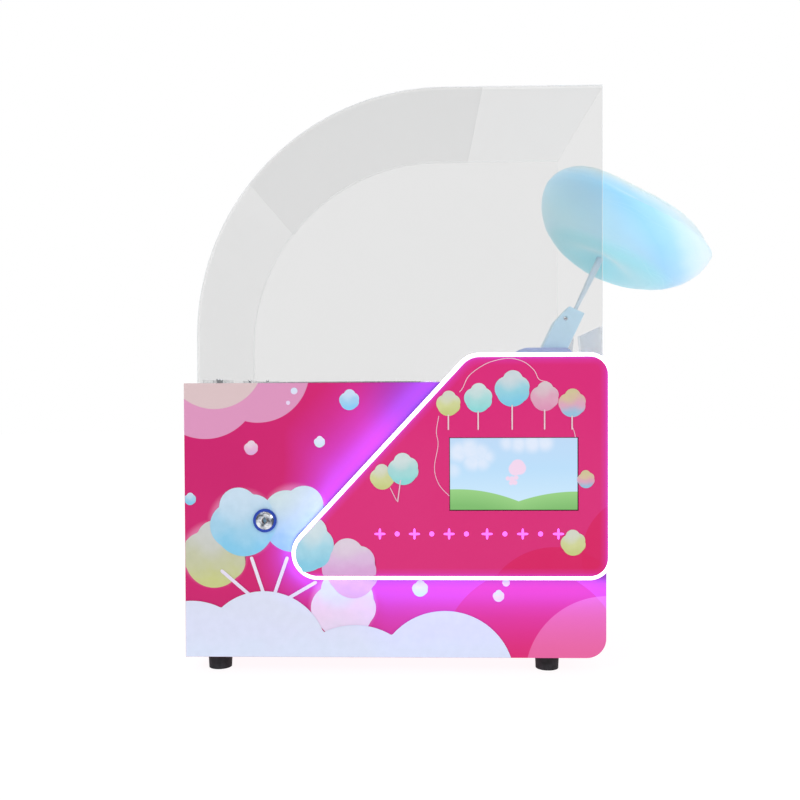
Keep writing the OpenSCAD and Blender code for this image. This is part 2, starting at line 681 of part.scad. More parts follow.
// Mixing block with its blower, riser, elbow and level pipe that drops sugar into the head
module feed_pipe() color("#b8bcc4") body_frame() difference() {
    union() {
        block([riser_x - 12, auger_y - 12, auger_z - 16], [riser_x + 12, auger_y + 12, auger_z + 16]);
        rod_y(riser_x, auger_z, 11, auger_y + 12, auger_y + 70);
        rod_z(riser_x, auger_y, 5, auger_z + 16, pipe_z - 8);
        rod_z(riser_x, auger_y, 7.5, pipe_z - 8, pipe_z + 8);
        feed_line() cylinder(r = 5, h = feed_len);
        rod_z(bowl_x, 0, 7.5, pipe_z - 9, pipe_z + 7);
    }
    rod_x(auger_y, auger_z, 13.5, riser_x + 1, riser_x + 13);
    rod_z(riser_x, auger_y, 3.8, auger_z, pipe_z + 4);
    feed_line() cylinder(r = 3.6, h = feed_len);
    rod_z(bowl_x, 0, 3.8, pipe_z - 10, pipe_z + 4);
}

// ---- arm -----------------------------------------------------------------------

module cheek() difference() {
    union() {
        translate([170, deck + 2.5]) square([80, cheek_top - deck - 16.5]);
        translate([184, deck + 2.5]) square([52, cheek_top - deck - 2.5]);
        for (x = [184, 236]) translate([x, cheek_top - 14]) circle(r = 14);
    }
    translate([pivot_x, pivot_z]) circle(r = 4.06);
}

// Shoulder on the deck: two rounded cheeks on a slotted base
module arm_yoke() color(blue) body_frame() {
    xz(cheek_near[0], cheek_near[1]) cheek();
    xz(cheek_far[0], cheek_far[1]) cheek();
    difference() {
        block([168, cheek_near[0] - 2, deck], [252, cheek_far[1] + 2, deck + 2.5]);
        block([pivot_x - 32, sector_y[0] - 1.5, deck - 1], [pivot_x + 32, sector_y[1] + 1.5, deck + 3]);
    }
    block([170, cheek_near[1], deck + 2.5], [172, cheek_far[0], pivot_z - 2]);
}

// Pivot shaft with the toothed sector
module arm_shaft() color(steel) body_frame() {
    rod_y(pivot_x, pivot_z, 4, cheek_near[0] - 1, cheek_far[1] + 1);
    xz(sector_y[0], sector_y[1]) translate([pivot_x, pivot_z]) {
        intersection() {
            rotate(-90) gear(sector_n);
            polygon([[0, 0], [50, -10], [50, -50], [-50, -50], [-50, 9]]);
        }
        circle(r = 13);
    }
    rod_y(pivot_x, pivot_z, 9, arm_y, sector_y[0]);
}

// Side view of the arm, along the stick's line
module arm_side(inset) {
    i = inset;
    polygon([[0, i - 13], [arm_len - i, i - 12.4], [arm_len - i, 11 - 0.7 * i], [66, 20 - i], [28, 20 - i], [3, 13.5 - i]]);
}

module arm_housing() color(blue) body_frame() difference() {
    xz(2 - arm_y, arm_y) arm_plane() {
        arm_side(0);
        circle(r = 13.4);
    }
    xz(1 - arm_y, arm_y - arm_wall) arm_plane() intersection() {
        arm_side(arm_wall);
        translate([18, -30]) square([100, 60]);
    }
    rod_y(pivot_x, pivot_z, 4.01, -arm_y - 1, arm_y + 1);
    stick_axis() translate([0, 0, arm_len - 10]) cylinder(r = 7.2, h = 20);
    rod_y(arm_screw_p[0], arm_screw_p[1], 2, -arm_y, arm_y - 1);
}

module arm_cover() color(blue) body_frame() difference() {
    xz(-arm_y, 2 - arm_y) arm_plane() {
        arm_side(0);
        circle(r = 13.4);
    }
    rod_y(pivot_x, pivot_z, 4.01, -arm_y - 1, arm_y + 1);
    rod_y(arm_screw_p[0], arm_screw_p[1], 2.2, -arm_y - 1, 3 - arm_y);
}

module arm_screw() color(steel) body_frame()
    translate([arm_screw_p[0], -arm_y, arm_screw_p[1]]) rotate([90, 0, 0]) dome_screw(2, 4);

module arm_pinion() color("#c9a24a") body_frame() {
    xz(sector_y[0], sector_y[1]) translate([pivot_x, pivot_z - sector_gap]) rotate(180 / pinion_n) gear(pinion_n);
    rod_y(pivot_x, pivot_z - sector_gap, 3, sector_y[1], sector_y[1] + 20);
}

// Gear motor under the deck that drives the sector
module arm_gearmotor() color(dark) body_frame() difference() {
    union() {
        block([pivot_x - 22, 27, pivot_z - sector_gap - 22], [pivot_x + 22, 58, deck_under]);
        rod_y(pivot_x, pivot_z - sector_gap, 18, 58, 118);
    }
    rod_y(pivot_x, pivot_z - sector_gap, 3.06, 26, sector_y[1] + 22);
}

module stick_motor() color(dark) body_frame() stick_axis() difference() {
    translate([0, 0, 20]) cylinder(r = 9.5, h = 46);
    translate([0, 0, 50]) cylinder(r = 2.06, h = 20);
}

// Chuck on the motor's shaft, with a socket for the stick
module chuck() color(steel) body_frame() stick_axis() difference() {
    union() {
        translate([0, 0, 68]) cylinder(r = chuck_r, h = 28);
        translate([0, 0, 52]) cylinder(r = 2, h = 16);
    }
    translate([0, 0, 72]) cylinder(r = stick_r + 0.06, h = 30);
}

// Stick that flares from its chuck into the floss
module stick() color("#e8eef6") body_frame() stick_axis() rotate_extrude()
    polygon([[0, 73], [stick_r, 73], [stick_r, 98], [stick_top_r, 165], [stick_top_r, 255], [0, 255]]);

// Side view of the floss from foot to top, widest above its middle and flatter on top
function floss_rim(a) = let (high = floss_h / 2, out = cos(a)) [floss_r * out,
    floss_waist + (a > 0 ? (high - floss_waist) * sqrt(1 - pow(out, 3)) : (high + floss_waist) * sin(a))];

// Finished floss on the stick
module cotton_candy() color("#a9def2") body_frame() stick_axis() difference() {
    translate([floss_off, 0, floss_at]) rotate_extrude(convexity = 4)
        polygon([for (i = [0:24]) floss_rim(-90 + 7.5 * i)]);
    translate([0, 0, 100]) cylinder(r = stick_top_r + 0.4, h = 156);
}

// ---- electrics and rear fittings -----------------------------------------------

module power_supply() color("#b9bcc0") body_frame() difference() {
    union() {
        block([-110, 85, floor_top + 3.5], [70, 185, floor_top + 45]);
        for (x = [-100, 60], y = [95, 175]) rod_z(x, y, 6, floor_top, floor_top + 3.5);
    }
    for (i = [0:7]) block([-95 + 20 * i, 100, floor_top + 42], [-87 + 20 * i, 170, floor_top + 46]);
    block([60, 90, floor_top + 20], [71, 180, floor_top + 40]);
}

// Circuit board on four pillars
module control_board() color("#1f6b46") body_frame() {
    block([90, -150, floor_top + 12], [235, -40, floor_top + 13.6]);
    for (x = [98, 227], y = [-142, -48]) rod_z(x, y, 4, floor_top, floor_top + 12);
    block([110, -130, floor_top + 13.6], [140, -100, floor_top + 17]);
    block([160, -145, floor_top + 13.6], [220, -132, floor_top + 26]);
    block([200, -100, floor_top + 13.6], [225, -60, floor_top + 36]);
    for (y = [-90, -74, -58]) rod_z(120, y, 6, floor_top + 13.6, floor_top + 30);
}

module fan_frame() color(dark) body_frame() translate([fan_x, 0, fan_z]) difference() {
    union() {
        difference() {
            block([-fan_w / 2, back_in - 25, -fan_w / 2], [fan_w / 2, back_in, fan_w / 2]);
            rod_y(0, 0, 38.5, back_in - 26, back_in + 1);
        }
        rod_y(0, 0, 18, back_in - 25, back_in - 22.5);
        for (a = [45:90:315]) rotate([0, a, 0]) block([16, back_in - 25, -3], [39, back_in - 22.5, 3]);
    }
    for (x = [-35.5, 35.5], z = [-35.5, 35.5]) rod_y(x, z, 2.2, back_in - 26, back_in + 1);
}

module fan_rotor() color("#34353a") body_frame() translate([fan_x, back_in - 12, fan_z]) {
    rod_y(0, 0, 17, -9.5, 8);
    intersection() {
        rod_y(0, 0, 37, -10, 10);
        for (i = [0:6]) rotate([0, 360 / 7 * i, 0]) translate([26, 0, 0]) rotate([32, 0, 0])
            cube([24, 1.6, 24], center = true);
    }
}

// Stamped guard outside the fan's opening
module fan_guard() color(steel) body_frame() translate([fan_x, case_back + 1.6, fan_z]) rotate([90, 0, 0])
    linear_extrude(1.6) {
        for (r = [11, 21, 31, 41]) difference() {
            circle(r = r + 1.3);
            circle(r = r - 1.3);
        }
        for (a = [45:90:315]) rotate(a) difference() {
            union() {
                translate([10, -1.5]) square([38, 3]);
                translate([50.2, 0]) circle(r = 4.5);
            }
            translate([50.2, 0]) circle(r = 2.2);
        }
    }

// Mains inlet with its switch frame, in one moulding
module power_inlet() color(dark) body_frame() translate([inlet_x, 0, 0]) {
    difference() {
        union() {
            block([-24, case_back, inlet_z - 14], [24, case_back + 2.5, switch_z + 14]);
            block([-13.5, case_back - 24, inlet_z - 10.5], [13.5, case_back, inlet_z + 10.5]);
            block([-13.5, case_back - 16, switch_z - 9.5], [13.5, case_back, switch_z + 9.5]);
        }
        block([-11.5, case_back - 16, inlet_z - 8.5], [11.5, case_back + 3, inlet_z + 8.5]);
        block([-9.5, case_back - 12, switch_z - 8], [9.5, case_back + 3, switch_z + 8]);
    }
    for (x = [-7, 0, 7]) block([x - 1, case_back - 17, inlet_z - 3], [x + 1, case_back - 3, inlet_z + 3]);
}

module power_rocker() color("#d63a3a") body_frame() translate([inlet_x, case_back - 2, switch_z])
    rotate([-rocker_tilt, 0, 0]) yz(-9, 9) {
        circle(r = 5);
        polygon([[0, -6.6], [4.6, -7.2], [3.4, 0], [4.6, 7.2], [0, 6.6]]);
    }

base_pan();
left_panel();
rear_panel();
deck_plate();
case_screws();
feet();
door_skin();
body_hinge_leaves();
door_hinge_leaves();
hinge_pins();
lock_body();
lock_ring();
lock_plug();
lock_cam();
opal_diffuser();
light_plate();
led_strip();
panel_spacers();
display_module();
display_glass();
hood_near_sheet();
hood_far_sheet();
hood_side_sheet();
hood_arch_sheet();
hood_top_sheet();
hood_sill();
hood_tabs();
bowl();
spinner_shaft();
spinner_motor();
motor_bracket();
slip_rings();
head_base();
head_band();
head_cap();
heating_element();
sugar_hopper();
sugar_lid();
auger();
dosing_motor();
dosing_pinion();
feed_pipe();
arm_yoke();
arm_shaft();
arm_housing();
arm_cover();
arm_screw();
arm_pinion();
arm_gearmotor();
stick_motor();
chuck();
stick();
cotton_candy();
power_supply();
control_board();
fan_frame();
fan_rotor();
fan_guard();
power_inlet();
power_rocker();
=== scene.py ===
import json
import math
import random

import bmesh
import bpy
from mathutils import Matrix, Vector, noise


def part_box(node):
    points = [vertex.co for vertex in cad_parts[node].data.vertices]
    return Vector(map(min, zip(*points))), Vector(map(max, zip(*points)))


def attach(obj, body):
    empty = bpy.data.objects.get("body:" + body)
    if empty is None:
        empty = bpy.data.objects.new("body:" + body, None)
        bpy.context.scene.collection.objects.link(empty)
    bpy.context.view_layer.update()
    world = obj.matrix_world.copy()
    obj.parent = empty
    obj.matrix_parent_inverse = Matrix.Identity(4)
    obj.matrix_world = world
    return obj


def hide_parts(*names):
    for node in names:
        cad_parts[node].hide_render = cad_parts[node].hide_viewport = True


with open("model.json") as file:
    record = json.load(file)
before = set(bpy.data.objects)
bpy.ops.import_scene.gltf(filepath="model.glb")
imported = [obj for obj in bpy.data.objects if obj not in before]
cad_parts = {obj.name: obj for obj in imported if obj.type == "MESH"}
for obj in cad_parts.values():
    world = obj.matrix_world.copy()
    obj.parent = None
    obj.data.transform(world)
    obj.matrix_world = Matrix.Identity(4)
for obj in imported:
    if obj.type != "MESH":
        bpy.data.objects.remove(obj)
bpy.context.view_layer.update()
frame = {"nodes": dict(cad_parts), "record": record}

MM = 0.001
NODES = frame["nodes"]

# ---- places taken from the frame ---------------------------------------------------

door_low, door_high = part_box("door_skin")
plate_low, plate_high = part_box("light_plate")
glass_low, glass_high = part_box("display_glass")
case_x = (door_low.x + door_high.x) / 2
door_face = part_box("lock_ring")[1].y        # the lock's ring lies on the door's front face
plate_face = plate_low.y
screen = (glass_low + glass_high) / 2

# The stick's lean, its direction, and the direction across it in the picture
LEAN = math.radians(64)
ALONG = Vector((math.cos(LEAN), 0, math.sin(LEAN)))
ACROSS = Vector((math.sin(LEAN), 0, -math.cos(LEAN)))

# Light panel's outline, in millimetres about the middle of the case
RIM = 5.0                       # width of the lit opal rim
SLOPE = math.radians(47)        # lean of the side that rises from the lower left to the top
SLOPE_CORNER = 27               # radius of the two corners at the slope's ends
PLATE_BOTTOM = plate_low.z / MM
PLATE_TOP = plate_high.z / MM
PLATE_RIGHT = (plate_high.x - case_x) / MM
CORNER_RADII = (22, 22, SLOPE_CORNER, SLOPE_CORNER)
SLOPE_FOOT = (plate_low.x - case_x) / MM + SLOPE_CORNER - SLOPE_CORNER / math.tan(SLOPE / 2)

# Limits of the door's print: the door's edges to a hundredth of a millimetre, less an inset
PRINT_INSET = 0.4
PRINT_LEFT = round((door_low.x - case_x) / MM, 2) + PRINT_INSET
PRINT_BOTTOM = round(door_low.z / MM, 2) + PRINT_INSET
PRINT_TOP = round(door_high.z / MM, 2) - PRINT_INSET


def panel_edges():
    """The panel's bottom, right side, top and slope, each as its outward direction and its distance."""
    out = (-math.sin(SLOPE), math.cos(SLOPE))
    foot = SLOPE_FOOT * out[0] + PLATE_BOTTOM * out[1]
    return [((0, -1), -PLATE_BOTTOM), ((1, 0), PLATE_RIGHT), ((0, 1), PLATE_TOP), (out, foot)]


def panel_circles():
    """Centres and radii of the rounded corners: lower right, upper right, upper left and lower left."""
    edges = panel_edges()
    found = []
    for i, radius in enumerate(CORNER_RADII):
        (a, da), (b, db) = edges[i], edges[(i + 1) % 4]
        da, db = da - radius, db - radius
        det = a[0] * b[1] - a[1] * b[0]
        found.append(((da * b[1] - db * a[1]) / det, (a[0] * db - b[0] * da) / det, radius))
    return found


def panel_gap(x, z):
    """Distance from a point to the panel's outline, negative inside."""
    gap = max(n[0] * x + n[1] * z - d for n, d in panel_edges())
    for i, (cx, cz, radius) in enumerate(panel_circles()):
        (a, _), (b, _) = panel_edges()[i], panel_edges()[(i + 1) % 4]
        turn_a = a[0] * (z - cz) - a[1] * (x - cx)
        turn_b = b[0] * (z - cz) - b[1] * (x - cx)
        if turn_a > 0 > turn_b and a[0] * (x - cx) + a[1] * (z - cz) > 0:
            gap = max(gap, math.hypot(x - cx, z - cz) - radius)
    return gap


# ---- shader building blocks --------------------------------------------------------


def rgb(code):
    """A linear colour from an sRGB code such as dd3482."""
    parts = [int(code[i:i + 2], 16) / 255 for i in (0, 2, 4)]
    return tuple(c / 12.92 if c <= 0.04045 else ((c + 0.055) / 1.055) ** 2.4 for c in parts) + (1.0,)


PRINT_DEPTH = 0.0004            # how far round the door's front edges its print reaches
CASE_PINK = "dd3482"            # the case's own paint, also on the door's inner face


class Shader:
    """A material with one Principled shader and short calls for the nodes that feed it."""

    def __init__(self, name, **fixed):
        self.mat = bpy.data.materials.new(name)
        self.mat.use_nodes = True
        self.tree = self.mat.node_tree
        self.bsdf = self.tree.nodes["Principled BSDF"]
        self.coords = self.node("ShaderNodeTexCoord")
        for key, value in fixed.items():
            self.bsdf.inputs[key.replace("_", " ").title().replace("Ior", "IOR")].default_value = value

    def node(self, kind, **settings):
        made = self.tree.nodes.new(kind)
        for key, value in settings.items():
            setattr(made, key, value)
        return made

    def put(self, value, socket):
        """Links an output to a socket, or sets the socket to a plain value."""
        if isinstance(value, bpy.types.NodeSocket):
            self.tree.links.new(value, socket)
        else:
            socket.default_value = value

    def sum(self, kind, *values, clamp=False):
        made = self.node("ShaderNodeMath", operation=kind, use_clamp=clamp)
        for value, socket in zip(values, made.inputs):
            self.put(value, socket)
        return made.outputs[0]

    def place(self):
        """X and Z of the point in metres, about the middle of the case."""
        parts = self.node("ShaderNodeSeparateXYZ")
        self.put(self.coords.outputs["Object"], parts.inputs[0])
        return self.sum("SUBTRACT", parts.outputs["X"], case_x), parts.outputs["Z"]

    def behind_door_face(self):
        """1 where the point lies behind the door's front face, 0 on it and in front of it."""
        parts = self.node("ShaderNodeSeparateXYZ")
        self.put(self.coords.outputs["Object"], parts.inputs[0])
        return self.sum("GREATER_THAN", parts.outputs["Y"], door_face + PRINT_DEPTH)

    def ramp(self, value, *stops, ease="LINEAR"):
        made = self.node("ShaderNodeValToRGB")
        made.color_ramp.interpolation = ease
        elements = made.color_ramp.elements
        while len(elements) < len(stops):
            elements.new(0.5)
        for element, (at, colour) in zip(elements, stops):
            element.position = at
            element.color = colour if isinstance(colour, tuple) else (colour, colour, colour, 1)
        self.put(value, made.inputs[0])
        return made.outputs["Color"]

    def span(self, value, low, high, to_low=0.0, to_high=1.0, smooth=False):
        made = self.node("ShaderNodeMapRange", interpolation_type="SMOOTHSTEP" if smooth else "LINEAR")
        for amount, socket in zip((value, low, high, to_low, to_high), made.inputs):
            self.put(amount, socket)
        return made.outputs[0]

    def blend(self, factor, a, b, kind="MIX"):
        made = self.node("ShaderNodeMix", data_type="RGBA", blend_type=kind)
        self.put(factor, made.inputs[0])
        self.put(a, made.inputs[6])
        self.put(b, made.inputs[7])
        return made.outputs[2]

    def noise(self, scale, detail=3.0, stretch=None, rough=0.5):
        made = self.node("ShaderNodeTexNoise")
        made.inputs["Scale"].default_value = scale
        made.inputs["Detail"].default_value = detail
        made.inputs["Roughness"].default_value = rough
        where = self.coords.outputs["Object"]
        if stretch:
            mapped = self.node("ShaderNodeMapping")
            mapped.inputs["Scale"].default_value = stretch
            self.put(where, mapped.inputs[0])
            where = mapped.outputs[0]
        self.put(where, made.inputs["Vector"])
        return made.outputs["Fac"]

    def bump(self, height, strength, depth=0.0005):
        made = self.node("ShaderNodeBump")
        made.inputs["Strength"].default_value = strength
        made.inputs["Distance"].default_value = depth
        self.put(height, made.inputs["Height"])
        self.put(made.outputs[0], self.bsdf.inputs["Normal"])

    def colour(self, value):
        self.put(value, self.bsdf.inputs["Base Color"])

    def rough(self, value):
        self.put(value, self.bsdf.inputs["Roughness"])

    def glow(self, colour, strength):
        self.put(colour, self.bsdf.inputs["Emission Color"])
        self.put(strength, self.bsdf.inputs["Emission Strength"])

    def disc(self, x, z, centre, radius, soft=0.4):
        """1 inside a circle given in millimetres, 0 outside, with a soft edge."""
        dx = self.sum("SUBTRACT", x, centre[0] * MM)
        dz = self.sum("SUBTRACT", z, centre[1] * MM)
        squares = self.sum("ADD", self.sum("MULTIPLY", dx, dx), self.sum("MULTIPLY", dz, dz))
        reach = self.sum("SQRT", squares)
        return self.span(reach, (radius - soft) * MM, (radius + soft) * MM, 1.0, 0.0, smooth=True)

    def bunch(self, x, z, circles, soft=0.4, middle=(0, 0)):
        """1 inside any of the circles, given about a middle in millimetres, with a soft edge."""
        found = None
        for cx, cz, radius in circles:
            one = self.disc(x, z, (middle[0] + cx, middle[1] + cz), radius, soft=soft)
            found = one if found is None else self.sum("MAXIMUM", found, one)
        return found

    def panel_reach(self, x, z, soft):
        """Distance outside the panel's sides in metres, rounded at the corners."""
        reach = None
        for (nx, nz), d in panel_edges():
            along = self.sum("ADD", self.sum("MULTIPLY", x, nx), self.sum("MULTIPLY", z, nz))
            side = self.sum("SUBTRACT", along, d * MM)
            reach = side if reach is None else self.sum("SMOOTH_MAX", reach, side, soft * MM)
        return reach


VIOLET = (0.10, 0.08, 1.0, 1.0)
GLOW_REACH = 0.125              # how far the rim's light reaches over the door
GLOW_MEET = 0.01                # softness where the light of two sides meets
CORNER_FADE = 0.09              # the glow is narrower this far along both sides of the lower left corner
CORNER_NARROW = 2.4             # by this much at the corner itself
# The painted light's strength and the print's painted shade, by share of the reach
GLOW_FALL = ((0.0, 0.50), (0.03, 0.79), (0.06, 0.84), (0.16, 0.80), (0.21, 0.71), (0.30, 0.48), (0.40, 0.32),
             (0.55, 0.19), (0.68, 0.11), (0.85, 0.05), (1.0, 0.0))
GLOW_SHADE = ((0.0, 0.35), (0.01, 0.40), (0.03, 0.65), (0.06, 0.90), (0.10, 1.0))


def panel_light(made, art, strength=1.0):
    """Puts a print on the door's face, with painted shade close to the panel's rim and a painted violet glow
    from it.
    """
    x, z = made.place()
    cx, cz, radius = panel_circles()[3]
    dx, dz = made.sum("SUBTRACT", x, cx * MM), made.sum("SUBTRACT", z, cz * MM)
    reach = None
    for angle, narrow in ((SLOPE, 1.2), (0.0, 1.0)):
        ux, uz = math.cos(angle), math.sin(angle)
        along = made.sum("ADD", made.sum("MULTIPLY", dx, ux), made.sum("MULTIPLY", dz, uz))
        along = made.sum("MAXIMUM", along, 0.0)
        ox = made.sum("SUBTRACT", dx, made.sum("MULTIPLY", along, ux))
        oz = made.sum("SUBTRACT", dz, made.sum("MULTIPLY", along, uz))
        off = made.sum("SQRT", made.sum("ADD", made.sum("MULTIPLY", ox, ox), made.sum("MULTIPLY", oz, oz)))
        fade = made.span(along, 0.0, CORNER_FADE, CORNER_NARROW, narrow, smooth=True)
        off = made.sum("MULTIPLY", made.sum("SUBTRACT", off, (radius + RIM) * MM), fade)
        reach = off if reach is None else made.sum("SMOOTH_MIN", reach, off, GLOW_MEET)
    share = made.sum("DIVIDE", reach, GLOW_REACH, clamp=True)
    share = made.sum("MAXIMUM", share, made.behind_door_face())
    made.colour(made.blend(1.0, art, made.ramp(share, *GLOW_SHADE), "MULTIPLY"))
    made.glow(VIOLET, made.sum("MULTIPLY", made.ramp(share, *GLOW_FALL), strength))


# ---- materials ---------------------------------------------------------------------


def painted(name, code, grain=900, rough=0.38, bump=0.12, worn=0.06, lift=0.0):
    """Powder-coated metal: fine orange peel, slightly uneven gloss and tone; lift adds a faint painted glow.
    """
    made = Shader(name, coat_weight=0.15, coat_roughness=0.25)
    tone = made.noise(9, detail=4)
    base = rgb(code)
    dull = tuple(c * (1 - worn * 2) for c in base[:3]) + (1.0,)
    made.colour(made.ramp(tone, (0.3, dull), (0.7, base)))
    if lift:
        made.glow(base, lift)
    made.rough(made.span(made.noise(40, detail=5), 0.3, 0.7, rough - 0.06, rough + 0.08))
    made.bump(made.noise(grain, detail=2), bump, 0.0002)
    return made.mat


def metal(name, code, stretch, rough=0.28, scale=30, bump=0.05):
    """Metal with fine machining or brushing marks and faint stains."""
    made = Shader(name, metallic=1.0)
    lines = made.noise(scale, detail=6, stretch=stretch, rough=0.7)
    stain = made.noise(22, detail=4)
    base = rgb(code)
    dark = tuple(c * 0.72 for c in base[:3]) + (1.0,)
    made.colour(made.blend(made.span(stain, 0.3, 0.7, 0.0, 0.16), base, dark))
    made.rough(made.span(lines, 0.25, 0.75, rough - 0.1, rough + 0.14))
    made.bump(lines, bump, 0.0002)
    return made.mat


LOCK_FACE = 3.6                 # radii of the plug's brown face and of its key hole, in millimetres
KEY_HOLE = 2.6


def chrome_with_painted_reflection():
    """Polished chrome with a painted reflection of a room full of light and dark things."""
    made = Shader("lock_chrome")
    x, z = made.place()
    ring_low, ring_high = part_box("lock_ring")
    middle = ((ring_low + ring_high) / 2 - Vector((case_x, 0, 0))) / MM
    # painted reflection: dark and bright patches in the chrome's colour stand in for the room it mirrors
    room = made.noise(120, detail=2)
    art = made.ramp(room, (0.36, rgb("5a5e66")), (0.46, rgb("a9adb6")), (0.60, rgb("e8eaee")))
    art = made.blend(made.disc(x, z, (middle.x, middle.z), LOCK_FACE, soft=0.5), art, rgb("6d5a52"))
    # painted shade: the inside of the key hole is painted near black and not metallic
    hole = made.disc(x, z, (middle.x, middle.z), KEY_HOLE)
    made.colour(made.blend(hole, art, rgb("08080a")))
    made.put(made.span(hole, 0.0, 1.0, 0.85, 0.0), made.bsdf.inputs["Metallic"])
    made.rough(made.span(made.noise(400, detail=3), 0.3, 0.7, 0.12, 0.24))
    made.bump(made.noise(90, detail=2), 0.06, 0.0003)
    return made.mat


def plastic(name, code, rough=0.45, light=None):
    """Moulded plastic with a fine spark-eroded texture."""
    made = Shader(name, specular_ior_level=0.45)
    base = rgb(code)
    pale = rgb(light) if light else tuple(min(1, c * 1.25 + 0.004) for c in base[:3]) + (1.0,)
    made.colour(made.ramp(made.noise(60, detail=5), (0.3, base), (0.75, pale)))
    made.rough(made.span(made.noise(25), 0.3, 0.7, rough - 0.07, rough + 0.1))
    made.bump(made.noise(1400, detail=2), 0.2, 0.0002)
    return made.mat


def rubber():
    """Black rubber, paler where it is dusty."""
    made = Shader("foot_rubber_black", specular_ior_level=0.3)
    dust = made.noise(140, detail=6)
    made.colour(made.ramp(dust, (0.35, rgb("141416")), (0.8, rgb("37373b"))))
    made.rough(made.span(dust, 0.2, 0.8, 0.6, 0.85))
    made.bump(made.noise(900, detail=3), 0.35, 0.0003)
    return made.mat


def clear(name, tint, cut, haze, gloss=0.4, edge=False):
    """Clear acrylic sheet: seen through head on, mirroring at a slant, with a painted glow on its cut edges
    if asked.
    """
    made = Shader(name, roughness=0.06, ior=1.49)
    tree = made.tree
    made.colour(made.ramp(made.noise(14), (0.3, rgb(cut)), (0.7, rgb("f7f8f8"))))
    made.bump(made.noise(6, detail=2), 0.04, 0.0005)
    see = made.node("ShaderNodeBsdfTransparent")
    see.inputs[0].default_value = rgb(tint)
    slant = made.node("ShaderNodeLayerWeight")
    slant.inputs["Blend"].default_value = 0.12
    factor = made.sum("ADD", made.sum("MULTIPLY", slant.outputs["Fresnel"], gloss), haze, clamp=True)
    if edge:
        facing = made.node("ShaderNodeSeparateXYZ")
        made.put(made.coords.outputs["Normal"], facing.inputs[0])
        cut_face = made.sum("LESS_THAN", made.sum("ABSOLUTE", facing.outputs["Y"]), 0.5)
        # painted glow: the cut edges give a faint light of their own
        made.glow(rgb("e4eef2"), made.sum("MULTIPLY", cut_face, 0.28))
        factor = made.sum("MAXIMUM", factor, made.sum("MULTIPLY", cut_face, 0.75))
    mix = made.node("ShaderNodeMixShader")
    tree.links.new(factor, mix.inputs[0])
    tree.links.new(see.outputs[0], mix.inputs[1])
    tree.links.new(made.bsdf.outputs[0], mix.inputs[2])
    tree.links.new(mix.outputs[0], tree.nodes["Material Output"].inputs["Surface"])
    return made.mat


def opal():
    """Opal acrylic lit from inside."""
    made = Shader("opal_acrylic_lit", roughness=0.3, transmission_weight=0.0, subsurface_weight=0.2)
    made.colour(rgb("ffffff"))
    cloud = made.noise(35, detail=3)
    made.glow(rgb("f7f2ff"), made.span(cloud, 0.3, 0.7, 1.35, 1.6))
    made.bump(made.noise(500), 0.05, 0.0002)
    return made.mat


# Round shapes in the door's print: places and radii in millimetres
PUFF_HALOS = ((-188, 187, 40), (-123, 193, 40), (-224, 148, 39), (-64, 85, 39))
TOP_LOBES = ((-234, 358.6, 67.6), (-168, 375, 64))
PALE_LOBE = ((-222, 390), 62)
TOP_SHADE = ((30, 345), 50)     # painted shade: darker, left of the slope's upper end
LOW_RED = ((168, 20), 110)      # redder, under the panel
LOW_PALE = ((262, -5), 101.6)   # paler, in the lower right corner


def door_print():
    """
    Pink print on the door: lobes at the top left, a pale disc at the lower right and halos round
    the big puffs. The door's inner face has the case's plain pink.
    """
    made = Shader("door_pink_print", roughness=0.4, specular_ior_level=0.22, coat_weight=0.05,
                  coat_roughness=0.2)
    x, z = made.place()
    tone = made.noise(5, detail=3)
    art = made.ramp(tone, (0.3, rgb("c8176a")), (0.7, rgb("ce1d6e")))
    right = made.span(x, -0.2, 0.26, 0.0, 1.0, smooth=True)
    art = made.blend(made.sum("MULTIPLY", right, 0.75), art, rgb("e43088"))
    halos = made.bunch(x, z, PUFF_HALOS, soft=6)
    art = made.blend(made.sum("MULTIPLY", halos, 0.4), art, rgb("f3b4dc"))
    shade = made.disc(x, z, *TOP_SHADE, soft=34)
    art = made.blend(made.sum("MULTIPLY", shade, 0.65), art, rgb("84206c"))
    red = made.disc(x, z, *LOW_RED)
    art = made.blend(made.sum("MULTIPLY", red, 0.7), art, rgb("dc1450"))
    art = made.blend(made.bunch(x, z, TOP_LOBES), art, rgb("da94bc"))
    art = made.blend(made.disc(x, z, *PALE_LOBE), art, rgb("d8c0c2"))
    art = made.blend(made.sum("MULTIPLY", made.disc(x, z, *LOW_PALE), 0.42), art, rgb("f890c4"))
    art = made.blend(made.behind_door_face(), art, rgb(CASE_PINK))
    panel_light(made, art, made.span(red, 0.0, 1.0, 1.0, 0.75))
    made.rough(made.span(made.noise(60, detail=4), 0.3, 0.7, 0.3, 0.42))
    made.bump(made.noise(900, detail=2), 0.1, 0.0002)
    return made.mat


PLATE_DISCS = (((195, 70.5), 89.5), ((300, 150), 73))
EDGE_CREEP = 0.010              # how far the rim's light creeps in over the light plate


def plate_print():
    """Pink print on the light plate with two redder discs; light creeps in at its edge."""
    made = Shader("light_plate_print", roughness=0.16, specular_ior_level=0.15)
    x, z = made.place()
    art = made.ramp(made.span(z, 0.12, 0.39), (0.0, rgb("d92c77")), (1.0, rgb("d92d79")))
    first, second = (made.disc(x, z, *disc) for disc in PLATE_DISCS)
    discs = made.sum("ADD", first, second)
    art = made.blend(made.sum("MULTIPLY", discs, 0.85, clamp=True), art, rgb("d71a5c"))
    art = made.blend(made.span(made.noise(7, detail=3), 0.35, 0.7, 0.0, 0.12), art, rgb("dc4686"))
    made.colour(art)
    reach = made.sum("MULTIPLY", made.panel_reach(x, z, soft=14), -1.0)
    share = made.sum("DIVIDE", reach, EDGE_CREEP, clamp=True)
    creep = made.ramp(share, (0.0, 0.4), (0.35, 0.12), (1.0, 0.0))
    made.glow(VIOLET, creep)
    made.rough(made.span(made.noise(30, detail=4), 0.3, 0.7, 0.12, 0.22))
    return made.mat


